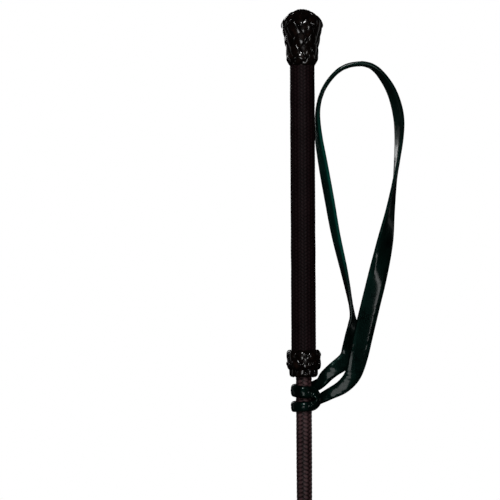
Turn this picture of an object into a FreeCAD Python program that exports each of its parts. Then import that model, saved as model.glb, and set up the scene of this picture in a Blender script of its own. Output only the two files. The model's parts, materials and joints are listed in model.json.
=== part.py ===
"""Riding crop with a plaited knob, a braided grip and shaft, a wrist loop and a folded leather flap.

Millimetres. The origin is the middle of the grip on the shaft's axis. +Z runs up the shaft to the
knob, and the wrist loop stands out towards +X in the XZ plane. The flap's faces look along Y.
"""
import FreeCAD, Part
import math
import os

import Sketcher

FULL_TURN = 360.0
BLOCK_SIDE = 60.0    # a cube that reaches well beyond a short length of strap

document = FreeCAD.newDocument("riding_crop")
sheet = document.addObject("Spreadsheet::Sheet", "Dimensions")
pieces = []


# ---------------------------------------------------------------- the sheet

def define(alias, value, note):
    """Put one driving dimension in the next row of the sheet."""
    define.row += 1
    sheet.set("A%d" % define.row, note)
    sheet.set("B%d" % define.row, str(value))
    sheet.setAlias("B%d" % define.row, alias)


define.row = 0

# Heights are measured from the middle of the grip.
define("knob_top", 112.9, "top of the knob's dome")
define("knob_rim_height", 104.6, "height of the knob's widest ring")
define("knob_bottom", 81.8, "lower end of the knob plait")
define("grip_end", 5.0, "length of grip braid hidden under each plait")
define("collar_top", -81.2, "top of the collar plait")
define("collar_step", -93.0, "where the collar steps in")
define("collar_bottom", -99.0, "lower end of the collar plait")
define("thick_end", -165.0, "where the shaft begins its taper")
define("taper_middle", -215.0, "a point half way down the taper")
define("flex_a", -250.0, "first bending line of the shaft")
define("flex_b", -320.0, "second bending line of the shaft")
define("flex_c", -390.0, "third bending line of the shaft")
define("sleeve_top", -425.2, "top of the tip sleeve")
define("neck_top", -482.2, "top of the neck wrap")
define("neck_bottom", -502.7, "lower end of the neck wrap")
define("braid_bottom", -499.0, "lower end of the shaft braid")
define("rod_tip", -521.0, "lower end of the core rod")
define("flap_bend", -550.0, "bending line of the flap")
define("flap_bottom", -587.1, "fold of the flap")

# Lengths inside the handle and the tip.
define("knob_foot_length", 3.0, "length over which the knob plait swells out from its foot")
define("knob_waist_length", 9.0, "height of the knob's waist above its foot")
define("rod_head_length", 14.0, "length of core rod inside the knob")
define("rod_socket_length", 15.0, "depth of the rod's socket above the knob's foot")
define("plait_lip", 1.0, "length of plait beyond the end of a whipping")
define("collar_foot_rise", 1.5, "height of the rounded foot of the collar plait")
define("collar_shoulder_rise", 1.6, "height of the collar plait's rounded shoulder")
define("collar_lip", 0.9, "depth of plait over the top of the collar's binding")
define("rod_shoulder_drop", 0.2, "length of thin rod above its step, below the braid's end")
define("rod_shoulder_rise", 3.0, "height of the rod's step above the braid's end")
define("sleeve_overlap", 3.0, "length of sleeve hidden under the neck wrap")
define("sleeve_swell_length", 4.0, "length of the swelling at the sleeve's upper end")
define("tip_whipping_foot", 8.0, "depth of the tip whipping's foot below the neck wrap's top")
define("tip_whipping_head", 4.0, "depth of the tip whipping's head below the neck wrap's top")

# Radii.
define("knob_rim_radius", 12.0, "knob plait at its widest")
define("knob_waist_radius", 9.3, "knob plait at its waist")
define("knob_foot_radius", 8.2, "knob plait at its lower end")
define("grip_radius", 7.1, "outside of the grip braid")
define("collar_radius", 9.85, "outside of the collar plait")
define("collar_foot_radius", 8.3, "collar plait below its step")
define("shaft_radius_top", 4.62, "shaft braid under the collar")
define("shaft_radius_thick", 4.5, "shaft braid where the taper begins")
define("shaft_radius_middle", 3.8, "shaft braid half way down the taper")
define("shaft_radius_a", 3.05, "shaft braid at the first bending line")
define("shaft_radius_b", 2.16, "shaft braid at the second bending line")
define("shaft_radius_c", 1.9, "shaft braid at the third bending line")
define("shaft_radius_tip", 1.6, "shaft braid under the neck wrap")
define("sleeve_radius", 2.3, "outside of the tip sleeve")
define("neck_radius", 2.8, "outside of the neck wrap")
define("rod_tip_radius", 1.05, "core rod at its tip")
define("knob_waist_swell", 0.2, "how far the knob's waist swells towards its rim")
define("collar_shoulder_inset", 1.4, "how far the collar plait's shoulder steps in")
define("sleeve_swell", 0.15, "how far the sleeve swells near its upper end")
define("edge_round", 0.8, "rounding of the collar's step and of the hitch's edges")

# Wall thicknesses and clearances.
define("plait_wall", 1.4, "leather plait")
define("braid_wall", 0.7, "thread braid")
define("whipping_wall", 0.6, "thread binding")
define("glue_gap", 0.05, "film of adhesive between nested pieces")
define("flex_gap", 0.5, "half of the gap at a bending line")
define("swivel_gap", 0.3, "hitch round the shaft")
define("seat_gap", 0.1, "clearance at the ends of the collar former and round the rod in the flap")
define("tip_braid_gap", 0.15, "extra bore in the braid at the tip")

# Flap.
define("flap_leather", 2.0, "thickness of one layer of the flap")
define("layer_gap", 0.1, "half of the gap between the two layers")
define("fold_half_width", 7.3, "half width of the flap at its fold")
define("fold_corner", 1.6, "rounding of the flap's corners")
define("flap_side_half_width", 8.6, "half width of the flap 30 mm above the fold")
define("flap_widest_half_width", 10.95, "half width of the flap at its widest")
define("flap_widest_height", -525.5, "height of the flap's widest place")
define("flap_neck_half_width", 2.9, "half width of the flap's neck")
define("fold_corner_radius", 2.56, "radius of the arcs at the fold's corners")
define("fold_flare", 0.2, "how far the flap widens over its rounded corners")
define("flap_side_height", 30.0, "height above the fold of the end of the straight side")
define("cheek_radius", 17.0, "rounding of the flap's widest place")
define("cheek_drop", 6.0, "depth of the rounding below the widest place")
define("cheek_rise", 6.5, "height of the rounding above the widest place")
define("cheek_foot_inset", 0.5, "narrowing at the foot of the rounding")
define("cheek_head_inset", 2.0, "narrowing at the head of the rounding")
define("ridge_radius", 2.75, "leather raised over the rod")
define("ridge_drop", 1.5, "length of the raised leather below the rod's tip")
define("tail_drop", 9.0, "depth of the flap's hidden tail below the neck wrap's top")
define("slit_foot", 1.0, "leather left solid above the fold")
define("slit_head", 5.0, "height of the slit above the bending line")
define("knuckle_gap", 0.8, "clearance round the flap's bending line")
define("across_flap", 40.0, "length of a shape that passes right across the flap")
define("beyond_faces", 10.0, "depth of a shape that passes beyond the flap's faces")
define("overlap", 1.0, "how far a cutting or joining shape passes its piece")

# Stitches.
define("stitch_count", 25, "stitches in the arch")
define("stitch_pitch", 2.43, "distance between stitches")
define("stitch_length", 1.8, "length of one stitch")
define("thread_radius", 0.3, "stitching thread")
define("stitch_clearance", 0.02, "film between a stitch and the leather")
define("arch_half_width", 6.85, "half width of the stitched arch")
define("arch_corner", 4.4, "radius of the arch's shoulders")
define("arch_top", -542.2, "crown of the stitched arch")

# Wrist strap.
define("strap_width", 11.4, "width of the wrist strap in the loop")
define("strap_thickness", 2.5, "thickness of the wrist strap")
define("hitch_wall", 2.5, "thickness of the strap round the shaft")
define("upper_turn_top", -101.4, "top of the hitch's upper turn")
define("upper_turn_bottom", -108.7, "lower edge of the hitch's upper turn")
define("lower_turn_top", -110.6, "top of the hitch's lower turn")
define("lower_turn_bottom", -116.6, "lower edge of the hitch's lower turn")
define("bight_reach", 12.9, "how far the hitch's bight stands out from the axis")
define("bight_breadth", 10.0, "breadth of the hitch's bight")
define("bight_top", -99.8, "top of the hitch's bight")
define("loop_bend_x", 21.1, "loop's bending line, distance from the shaft's axis")
define("loop_bend_z", -98.1, "loop's bending line, height")
define("loop_bend_slope", 35.0, "direction of the strap's legs above the horizontal, in degrees")
define("leg_gap", 0.85, "half of the gap at the loop's bending line")
define("gap_shift", 0.45, "how far the gap lies from the bending line, towards the hitch")
define("leg_straight", 3.0, "straight length of each leg beyond the bending line")
define("root_width", 0.6, "width of a leg where it leaves the bight, as a share of the strap's width")
define("root_x", 9.0, "distance of the legs' roots from the shaft's axis")
define("inner_root_height", -98.8, "height of the inner leg's root")
define("outer_root_height", -110.2, "height of the outer leg's root")
define("inner_width", 0.88, "width of the inner leg at the bending line, as a share")
define("outer_width", 0.76, "width of the outer leg at the bending line, as a share")
define("leg_offset", 5.7, "distance of each leg's middle from the centre of the bending line")

document.recompute()


def size(alias):
    """The value of one cell."""
    return float(sheet.get(alias))


def formula(text):
    """Turn each @alias in a formula into a reference to the sheet."""
    return text.replace("@", "Dimensions.")


def value_of(text):
    """The number that a formula stands for."""
    return float(sheet.evalExpression(formula(text)))


# ---------------------------------------------------------------- turned pieces

def origin_plane(body, role):
    """One of a body's own origin planes."""
    return next(item for item in body.Origin.OriginFeatures if item.Role == role)


def bind_vertex(sketch, edge, end, point_name, x_text, y_text):
    """Hold one end of an edge at two formulas, measured from the sketch's origin."""
    for axis_name, axis_line, text in (("X", -2, x_text), ("Y", -1, y_text)):
        number = value_of(text)
        if abs(number) < 1e-9:
            sketch.addConstraint(Sketcher.Constraint("PointOnObject", edge, end, axis_line))
            continue
        ends = (-1, 1, edge, end) if number > 0 else (edge, end, -1, 1)
        kind = "Distance" + axis_name
        index = sketch.addConstraint(Sketcher.Constraint(kind, *ends, abs(number)))
        name = "%s_%s" % (point_name, axis_name.lower())
        sketch.renameConstraint(index, name)
        signed = text if number > 0 else "-(%s)" % text
        sketch.setExpression("Constraints." + name, formula(signed))


def arc_between(start, end, radius):
    """The anticlockwise arc from start to end, with its centre on the left of the way."""
    chord = end - start
    rise = math.sqrt(max(radius ** 2 - (chord.Length / 2) ** 2, 0.0))
    left = FreeCAD.Vector(-chord.y, chord.x, 0).normalize()
    centre = (start + end) / 2 + left * rise
    first = math.atan2(start.y - centre.y, start.x - centre.x)
    last = math.atan2(end.y - centre.y, end.x - centre.x)
    if last < first:
        last += 2 * math.pi
    circle = Part.Circle(centre, FreeCAD.Vector(0, 0, 1), radius)
    return Part.ArcOfCircle(circle, first, last)


def draw_outline(sketch, outline):
    """A closed outline, anticlockwise, fully constrained by the sheet.

    Each point is (across, up), (across, up, radius) or (across, up, radius, "hollow"). The radius
    makes the edge that leaves the point a round one, which bulges out, or in where it is hollow.
    """
    points = [FreeCAD.Vector(value_of(point[0]), value_of(point[1]), 0) for point in outline]
    count = len(outline)
    starts = []
    for index, point in enumerate(outline):
        start = points[index]
        end = points[(index + 1) % count]
        if len(point) == 4:
            sketch.addGeometry(arc_between(end, start, value_of(point[2])))
        elif len(point) == 3:
            sketch.addGeometry(arc_between(start, end, value_of(point[2])))
        else:
            sketch.addGeometry(Part.LineSegment(start, end))
        # A sketch's arc always runs anticlockwise, so a hollow one starts at the edge's far end.
        starts.append(2 if len(point) == 4 else 1)
    for index in range(count):
        following = (index + 1) % count
        joined = Sketcher.Constraint("Coincident", index, 3 - starts[index], following, starts[following])
        sketch.addConstraint(joined)
    for index, point in enumerate(outline):
        bind_vertex(sketch, index, starts[index], "point_%d" % index, point[0], point[1])
        if len(point) > 2:
            radius = Sketcher.Constraint("Radius", index, value_of(point[2]))
            name = "round_%d" % index
            sketch.renameConstraint(sketch.addConstraint(radius), name)
            sketch.setExpression("Constraints." + name, formula(point[2]))


def turned(label, bottom, outline):
    """A solid of revolution about Z. The outline's heights are measured from the grip's middle."""
    body = document.addObject("PartDesign::Body", label)
    sketch = body.newObject("Sketcher::SketchObject", label + "_profile")
    sketch.AttachmentSupport = (origin_plane(body, "XZ_Plane"), [""])
    sketch.MapMode = "FlatFace"
    raised = [(point[0], "(%s) - (%s)" % (point[1], bottom)) + point[2:] for point in outline]
    draw_outline(sketch, raised)
    turn = body.newObject("PartDesign::Revolution", label + "_turned")
    turn.Profile = sketch
    turn.ReferenceAxis = (sketch, ["V_Axis"])
    turn.Angle = FULL_TURN
    sketch.Visibility = False
    body.Tip = turn
    body.setExpression("Placement.Base.z", formula(bottom))
    pieces.append(body)
    return body


def tube(label, bottom, top, inside, outside):
    """A straight tube between two heights."""
    corners = [(inside, bottom), (outside, bottom), (outside, top), (inside, top)]
    return turned(label, bottom, corners)


def shaft_segment(name, stations):
    """One length of the core rod and one of the braid over it, between two bending lines.

    Each station is (height, radius of the braid), from the lowest to the highest.
    """
    bottom = stations[0][0]
    core = [("0", bottom)]
    core += [("%s - @braid_wall - @glue_gap" % radius, height) for height, radius in stations]
    core.append(("0", stations[-1][0]))
    turned("core_rod_" + name, bottom, core)
    outside = [(radius, height) for height, radius in stations]
    inside = [("%s - @braid_wall" % radius, height) for height, radius in reversed(stations)]
    turned("shaft_braid_" + name, bottom, outside + inside)


# ---------------------------------------------------------------- handle

def dome_radius(rim):
    """The radius of the knob's dome over a rim, which meets the axis square."""
    rise = "(@knob_top - @knob_rim_height)"
    return "((%s)^2 + %s^2) / (2 * %s)" % (rim, rise, rise)


def make_handle():
    """Knob, grip, collar and the stiff upper part of the shaft."""
    rod = "@shaft_radius_top - @braid_wall - @glue_gap"
    braid_inside = "@grip_radius - @braid_wall"
    grip_top = "@knob_bottom + @grip_end"
    grip_bottom = "@collar_top - @grip_end"
    former_rim = "@knob_rim_radius - @plait_wall"
    cover_rim = former_rim + " + @glue_gap"
    turned("core_rod_handle", "@flex_a + @flex_gap", [
        ("0", "@flex_a + @flex_gap"),
        ("@shaft_radius_a - @braid_wall - @glue_gap", "@flex_a + @flex_gap"),
        ("@shaft_radius_middle - @braid_wall - @glue_gap", "@taper_middle"),
        ("@shaft_radius_thick - @braid_wall - @glue_gap", "@thick_end"),
        (rod, "@collar_top"),
        (rod, "@knob_bottom + @rod_head_length"),
        ("0", "@knob_bottom + @rod_head_length"),
    ])
    turned("shaft_braid_handle", "@flex_a + @flex_gap", [
        ("@shaft_radius_a - @braid_wall", "@flex_a + @flex_gap"),
        ("@shaft_radius_a", "@flex_a + @flex_gap"),
        ("@shaft_radius_middle", "@taper_middle"),
        ("@shaft_radius_thick", "@thick_end"),
        ("@shaft_radius_top", "@collar_step"),
        ("@shaft_radius_top - @braid_wall", "@collar_step"),
        ("@shaft_radius_thick - @braid_wall", "@thick_end"),
        ("@shaft_radius_middle - @braid_wall", "@taper_middle"),
    ])
    tube("grip_former", grip_bottom, grip_top, rod + " + @glue_gap", braid_inside + " - @glue_gap")
    tube("grip_braid", grip_bottom, grip_top, braid_inside, "@grip_radius")
    tube("grip_whipping_upper", "@knob_bottom + @plait_lip", grip_top,
         "@grip_radius + @glue_gap", "@grip_radius + @whipping_wall")
    tube("grip_whipping_lower", grip_bottom, "@collar_top - @plait_lip",
         "@grip_radius + @glue_gap", "@grip_radius + @whipping_wall")
    turned("knob_former", grip_top + " + @glue_gap", [
        (rod + " + @glue_gap", grip_top + " + @glue_gap"),
        ("@knob_waist_radius - @plait_wall", grip_top + " + @glue_gap"),
        ("@knob_waist_radius - @plait_wall", "@knob_bottom + @knob_waist_length"),
        (former_rim, "@knob_rim_height - @plait_wall", dome_radius(former_rim)),
        ("0", "@knob_top - @plait_wall"),
        ("0", "@knob_bottom + @rod_socket_length"),
        (rod + " + @glue_gap", "@knob_bottom + @rod_socket_length"),
    ])
    turned("knob_plait", "@knob_bottom", [
        ("@grip_radius + @glue_gap", "@knob_bottom"),
        ("@knob_foot_radius", "@knob_bottom"),
        ("@knob_waist_radius", "@knob_bottom + @knob_foot_length"),
        ("@knob_waist_radius + @knob_waist_swell", "@knob_bottom + @knob_waist_length"),
        ("@knob_rim_radius", "@knob_rim_height", dome_radius("@knob_rim_radius")),
        ("0", "@knob_top"),
        ("0", "@knob_top - @plait_wall + @glue_gap", dome_radius(cover_rim), "hollow"),
        (cover_rim, "@knob_rim_height - @plait_wall + @glue_gap"),
        ("@knob_waist_radius - @plait_wall + @glue_gap", "@knob_bottom + @knob_waist_length"),
        ("@knob_waist_radius - @plait_wall + @glue_gap", "@knob_bottom + @plait_lip"),
        ("@grip_radius + @glue_gap", "@knob_bottom + @plait_lip"),
    ])
    tube("collar_former", "@collar_step + 2 * @seat_gap", grip_bottom + " - @glue_gap",
         "@shaft_radius_top + @glue_gap", "@collar_foot_radius - @plait_wall")
    turned("collar_plait", "@collar_bottom", [
        ("@shaft_radius_top + @glue_gap", "@collar_bottom"),
        ("@collar_foot_radius - @edge_round", "@collar_bottom"),
        ("@collar_foot_radius", "@collar_bottom + @collar_foot_rise"),
        ("@collar_foot_radius", "@collar_step - @edge_round"),
        ("@collar_radius", "@collar_step + @edge_round"),
        ("@collar_radius", "@collar_top - @collar_shoulder_rise"),
        ("@collar_radius - @collar_shoulder_inset", "@collar_top"),
        ("@grip_radius + @glue_gap", "@collar_top"),
        ("@grip_radius + @glue_gap", "@collar_top - @collar_lip"),
        ("@collar_radius - @plait_wall", "@collar_top - @collar_lip"),
        ("@collar_radius - @plait_wall", "@collar_step + @seat_gap"),
        ("@shaft_radius_top + @glue_gap", "@collar_step + @seat_gap"),
    ])


# ---------------------------------------------------------------- bending shaft and tip

def make_lower_shaft():
    """Three lengths of the whippy shaft, then the sleeve, the neck wrap and the whipping."""
    shaft_segment("upper_flex", [
        ("@flex_b + @flex_gap", "@shaft_radius_b"),
        ("@flex_a - @flex_gap", "@shaft_radius_a"),
    ])
    shaft_segment("lower_flex", [
        ("@flex_c + @flex_gap", "@shaft_radius_c"),
        ("@flex_b - @flex_gap", "@shaft_radius_b"),
    ])
    core = "@braid_wall - @glue_gap"
    turned("core_rod_tip", "@rod_tip", [
        ("0", "@rod_tip"),
        ("@rod_tip_radius", "@rod_tip"),
        ("@rod_tip_radius", "@braid_bottom - @rod_shoulder_drop"),
        ("@shaft_radius_tip - " + core, "@braid_bottom + @rod_shoulder_rise"),
        ("@shaft_radius_c - " + core, "@flex_c - @flex_gap"),
        ("0", "@flex_c - @flex_gap"),
    ])
    turned("shaft_braid_tip", "@braid_bottom", [
        ("@shaft_radius_tip - @braid_wall + @tip_braid_gap", "@braid_bottom"),
        ("@shaft_radius_tip", "@braid_bottom"),
        ("@shaft_radius_c", "@flex_c - @flex_gap"),
        ("@shaft_radius_c - @braid_wall + @tip_braid_gap", "@flex_c - @flex_gap"),
    ])
    turned("tip_sleeve", "@neck_top - @sleeve_overlap", [
        ("@shaft_radius_c - @glue_gap", "@neck_top - @sleeve_overlap"),
        ("@sleeve_radius", "@neck_top - @sleeve_overlap"),
        ("@sleeve_radius", "@sleeve_top - @sleeve_swell_length"),
        ("@sleeve_radius + @sleeve_swell", "@sleeve_top - @sleeve_swell_length / 2"),
        ("@sleeve_radius + @sleeve_swell / 3", "@sleeve_top"),
        ("@shaft_radius_c - @glue_gap", "@sleeve_top"),
    ])
    tube("tip_whipping", "@neck_top - @tip_whipping_foot", "@neck_top - @tip_whipping_head",
         "@shaft_radius_tip + @seat_gap", "@sleeve_radius - @glue_gap")
    tube("neck_wrap", "@neck_bottom", "@neck_top",
         "@sleeve_radius + @glue_gap", "@neck_radius")


# ---------------------------------------------------------------- flap

def primitive(kind, name, bound, turn=None):
    """A Part primitive whose properties are bound to formulas."""
    item = document.addObject(kind, name)
    if turn is not None:
        item.Placement.Rotation = FreeCAD.Rotation(*turn)
    for property_name, text in bound.items():
        item.setExpression(property_name, formula(text))
    return item


def combined(kind, label, base, tool):
    """A boolean of two objects."""
    item = document.addObject(kind, label)
    item.Base = base
    item.Tool = tool
    return item


def flap_blank(name, half_thickness):
    """The flap's whole outline, thickened both ways from the middle plane."""
    sketch = document.addObject("Sketcher::SketchObject", name + "_outline")
    sketch.Placement.Rotation = FreeCAD.Rotation(FreeCAD.Vector(1, 0, 0), 90)
    widest = "@flap_widest_height - @flap_bottom"
    neck = "@neck_bottom - @flap_bottom"
    right = [
        ("@fold_half_width - @fold_corner", "0", "@fold_corner_radius"),
        ("@fold_half_width + @fold_flare", "@fold_corner"),
        ("@flap_side_half_width", "@flap_side_height"),
        ("@flap_widest_half_width - @cheek_foot_inset", widest + " - @cheek_drop", "@cheek_radius"),
        ("@flap_widest_half_width - @cheek_head_inset", widest + " + @cheek_rise"),
        ("@flap_neck_half_width", neck),
    ]
    left = [
        ("-@flap_neck_half_width", neck),
        ("@cheek_head_inset - @flap_widest_half_width", widest + " + @cheek_rise", "@cheek_radius"),
        ("@cheek_foot_inset - @flap_widest_half_width", widest + " - @cheek_drop"),
        ("-@flap_side_half_width", "@flap_side_height"),
        ("-@fold_half_width - @fold_flare", "@fold_corner", "@fold_corner_radius"),
        ("@fold_corner - @fold_half_width", "0"),
    ]
    draw_outline(sketch, right + left)
    sketch.setExpression("Placement.Base.z", formula("@flap_bottom"))
    blank = document.addObject("Part::Extrusion", name + "_blank")
    blank.Base = sketch
    blank.DirMode = "Custom"
    blank.Dir = FreeCAD.Vector(0, 1, 0)
    blank.Solid = True
    blank.setExpression("LengthFwd", formula(half_thickness))
    blank.setExpression("LengthRev", formula(half_thickness))
    return blank


def bend_roller(name, radius):
    """A cylinder along the flap's bending line."""
    return primitive("Part::Cylinder", name, {
        "Radius": radius,
        "Height": "@across_flap",
        "Placement.Base.x": "-@across_flap / 2",
        "Placement.Base.z": "@flap_bend",
    }, (FreeCAD.Vector(0, 1, 0), 90))


def region(name, y_low, y_high, z_low, z_high):
    """A box that is wider than the flap."""
    return primitive("Part::Box", name, {
        "Length": "@across_flap",
        "Width": "(%s) - (%s)" % (y_high, y_low),
        "Height": "(%s) - (%s)" % (z_high, z_low),
        "Placement.Base.x": "-@across_flap / 2",
        "Placement.Base.y": y_low,
        "Placement.Base.z": z_low,
    })


def rod_cylinder(name, radius, z_low, z_high):
    """A cylinder on the shaft's axis."""
    return primitive("Part::Cylinder", name, {
        "Radius": radius,
        "Height": "(%s) - (%s)" % (z_high, z_low),
        "Placement.Base.z": z_low,
    })


def make_flap_layer(label, side):
    """One layer of the flap's stitched root, hollowed for the rod, with its tail round the neck."""
    half = "@flap_leather + @layer_gap"
    blank = flap_blank(label, half)
    tail_top = "@neck_top - @tail_drop"
    ridge = rod_cylinder(label + "_ridge", "@ridge_radius",
                         "@rod_tip - @ridge_drop", "@neck_bottom - @seat_gap")
    tail = rod_cylinder(label + "_tail", "@sleeve_radius", "@neck_bottom - @overlap", tail_top)
    raised = combined("Part::Fuse", label + "_raised", blank, ridge)
    whole = combined("Part::Fuse", label + "_whole", raised, tail)
    roller = bend_roller(label + "_roller", half + " + @knuckle_gap")
    bent = combined("Part::Cut", label + "_bent", whole, roller)
    wide = rod_cylinder(label + "_wide_bore", "@shaft_radius_tip + @seat_gap",
                        "@braid_bottom - 3 * @seat_gap", tail_top)
    narrow = rod_cylinder(label + "_bore", "@rod_tip_radius + @seat_gap",
                          "@rod_tip - @seat_gap", "@braid_bottom")
    bored = combined("Part::Cut", label + "_bored", bent, wide)
    hollow = combined("Part::Cut", label + "_hollow", bored, narrow)
    low, high = "@layer_gap", "@beyond_faces"
    if side < 0:
        low, high = "-@beyond_faces", "-@layer_gap"
    keep = region(label + "_half", low, high, "@flap_bend", tail_top)
    layer = combined("Part::Common", label, hollow, keep)
    pieces.append(layer)


def make_flap_tongue():
    """The folded end of the strip, with the knuckle on its bending line."""
    half = "@flap_leather + @layer_gap"
    blank = flap_blank("flap_tongue", half)
    knuckle = bend_roller("tongue_knuckle", half)
    below = region("tongue_below", "-@beyond_faces", "@beyond_faces",
                   "@flap_bottom + @flap_leather", "@flap_bend")
    fold = primitive("Part::Cylinder", "tongue_fold", {
        "Radius": half,
        "Height": "@across_flap",
        "Placement.Base.x": "-@across_flap / 2",
        "Placement.Base.z": "@flap_bottom + @flap_leather + @layer_gap",
    }, (FreeCAD.Vector(0, 1, 0), 90))
    rounded = combined("Part::Fuse", "tongue_rounded", below, knuckle)
    profile = combined("Part::Fuse", "tongue_profile", rounded, fold)
    folded = combined("Part::Common", "tongue_folded", blank, profile)
    slit = region("tongue_slit", "-@layer_gap", "@layer_gap",
                  "@flap_bottom + @flap_leather + @slit_foot", "@flap_bend + @slit_head")
    tongue = combined("Part::Cut", "flap_tongue", folded, slit)
    pieces.append(tongue)


def arch_place(distance):
    """Position and direction at a distance along the stitched arch, from its left foot."""
    corner = size("arch_corner")
    half_width = size("arch_half_width")
    quarter = corner * math.pi / 2
    crown = 2 * (half_width - corner)
    total = size("stitch_count") * size("stitch_pitch")
    leg = (total - crown - 2 * quarter) / 2
    shoulder = size("arch_top") + corner
    if distance > total / 2:
        x, z, direction = arch_place(total - distance)
        return -x, z, -direction
    if distance < leg:
        return -half_width, shoulder + leg - distance, 0.0
    if distance < leg + quarter:
        turn = (distance - leg) / corner
        x = -half_width + corner * (1 - math.cos(turn))
        return x, shoulder - corner * math.sin(turn), math.degrees(turn)
    return -half_width + corner + distance - leg - quarter, size("arch_top"), 90.0


def make_stitches():
    """The stitches of the arch, on both faces of the flap."""
    stitches = []
    lift = "@flap_leather + @layer_gap + @thread_radius + @stitch_clearance"
    for face, sign in (("back", ""), ("front", "-")):
        for index in range(int(size("stitch_count"))):
            x, z, direction = arch_place((index + 0.5) * size("stitch_pitch"))
            stitch = primitive("Part::Cylinder", "stitch_%s_%02d" % (face, index + 1), {
                "Radius": "@thread_radius",
                "Height": "@stitch_length",
            })
            turn = FreeCAD.Rotation(FreeCAD.Vector(0, 1, 0), -direction)
            along = turn.multVec(FreeCAD.Vector(0, 0, size("stitch_length") / 2))
            stitch.Placement = FreeCAD.Placement(FreeCAD.Vector(x, 0, z) - along, turn)
            stitch.setExpression("Placement.Base.y", formula("%s(%s)" % (sign, lift)))
            stitches.append(stitch)
    group = document.addObject("Part::Compound", "flap_stitches")
    group.Links = stitches
    pieces.append(group)


# ---------------------------------------------------------------- wrist strap

# The strap's two legs, from the loop's bending line to the top of the loop. Each station is
# (x, y, z, turn, width): the strap's face looks along Y at a turn of -90 degrees and its edge does
# at 0, and the width is a share of the strap's full width.
INNER_LEG = [
    (26.0, 1.2, -87.5, -85, 0.95),
    (28.8, 1.8, -80.5, -65, 1.0),
    (29.2, 1.8, -72.5, -38, 1.0),
    (28.8, 1.4, -66.0, -15, 1.0),
    (28.2, 1.0, -59.6, -3, 1.0),
    (24.2, 0.0, -38.5, 8, 1.0),
    (19.1, 0.0, -15.7, 14, 1.0),
    (15.7, 0.0, 4.3, 16, 1.0),
    (12.3, 0.0, 24.2, 16, 1.0),
    (9.9, 0.0, 41.3, 10, 1.0),
    (9.4, 0.0, 55.6, 0, 1.0),
    (12.8, 0.0, 67.0, 0, 1.0),
    (21.4, 0.0, 77.2, 0, 1.0),
    (33.3, 0.0, 82.1, 0, 1.0),
]
OUTER_LEG = [
    (30.6, -1.2, -96.4, -86, 0.86),
    (33.0, -1.8, -86.0, -80, 0.95),
    (35.2, -1.8, -72.7, -74, 1.0),
    (37.9, -1.6, -55.6, -68, 1.0),
    (40.8, -1.0, -41.3, -62, 1.0),
    (45.3, 0.0, -21.4, -42, 1.0),
    (48.7, 0.0, -4.3, -16, 1.0),
    (51.3, 0.0, 10.0, -5, 1.0),
    (53.2, 0.0, 22.0, 0, 1.0),
    (55.2, 0.0, 40.0, 13, 1.0),
    (55.0, 0.0, 52.7, 18, 1.0),
    (51.6, 0.0, 65.8, 15, 1.0),
    (44.2, 0.0, 77.2, 8, 1.0),
    (33.3, 0.0, 82.1, 0, 1.0),
]


def bend_directions():
    """Unit vectors along the legs and along the loop's bending line."""
    slope = math.radians(size("loop_bend_slope"))
    along = FreeCAD.Vector(math.cos(slope), 0, math.sin(slope))
    across = FreeCAD.Vector(-math.sin(slope), 0, math.cos(slope))
    return along, across


def bend_point(offset, beyond):
    """A point on a leg, a short way beyond the bending line."""
    along, across = bend_directions()
    centre = FreeCAD.Vector(size("loop_bend_x"), 0, size("loop_bend_z"))
    return centre + across * offset + along * beyond


def strap_section(point, tangent, turn, width):
    """The strap's rectangular section at a station."""
    side = FreeCAD.Vector(-tangent.z, 0, tangent.x).normalize()
    angle = math.radians(turn)
    across = FreeCAD.Vector(0, 1, 0) * math.cos(angle) + side * math.sin(angle)
    through = tangent.cross(across).normalize()
    across = across * (width * size("strap_width") / 2)
    through = through * (size("strap_thickness") / 2)
    corners = [point + across + through, point - across + through,
               point - across - through, point + across - through]
    return Part.makePolygon(corners + corners[:1])


def make_leg(label, offset, start_width, stations):
    """One leg of the loop, lofted from the bending line to the top of the loop."""
    along, _ = bend_directions()
    points = [bend_point(offset, size("leg_gap") - size("gap_shift")),
              bend_point(offset, size("leg_straight"))]
    turns = [-90, -90]
    widths = [start_width, start_width]
    for x, y, z, turn, width in stations:
        points.append(FreeCAD.Vector(x, y, z))
        turns.append(turn)
        widths.append(width)
    sections = []
    last = len(points) - 1
    for index, point in enumerate(points):
        tangent = along
        if 1 < index < last:
            tangent = points[index + 1] - points[index - 1]
        if index == last:
            tangent = FreeCAD.Vector(math.copysign(1, points[-1].x - points[-2].x), 0, 0)
        tangent.normalize()
        sections.append(strap_section(point, tangent, turns[index], widths[index]))
    leg = document.addObject("Part::Feature", label)
    leg.Shape = Part.makeLoft(sections, True, False)
    leg.Placement = FreeCAD.Placement()
    pieces.append(leg)


def make_stub(label, offset, root_height, end_width):
    """The short length of a leg between the hitch's bight and the bending line."""
    start = FreeCAD.Vector(size("root_x"), 0, root_height)
    end = bend_point(offset, -size("leg_gap") - size("gap_shift"))
    tangent = (end - start).normalize()
    sections = [strap_section(start, tangent, -90, size("root_width")),
                strap_section(end, bend_directions()[0], -90, end_width)]
    # The bight's flat outer side cuts the stub square.
    reach = size("bight_reach") + size("glue_gap")
    corner = FreeCAD.Vector(reach, -BLOCK_SIDE / 2, start.z - BLOCK_SIDE / 2)
    block = Part.makeBox(BLOCK_SIDE, BLOCK_SIDE, BLOCK_SIDE, corner)
    stub = document.addObject("Part::Feature", label)
    stub.Shape = Part.makeLoft(sections, True, True).common(block).Solids[0]
    stub.Placement = FreeCAD.Placement()
    pieces.append(stub)


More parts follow.
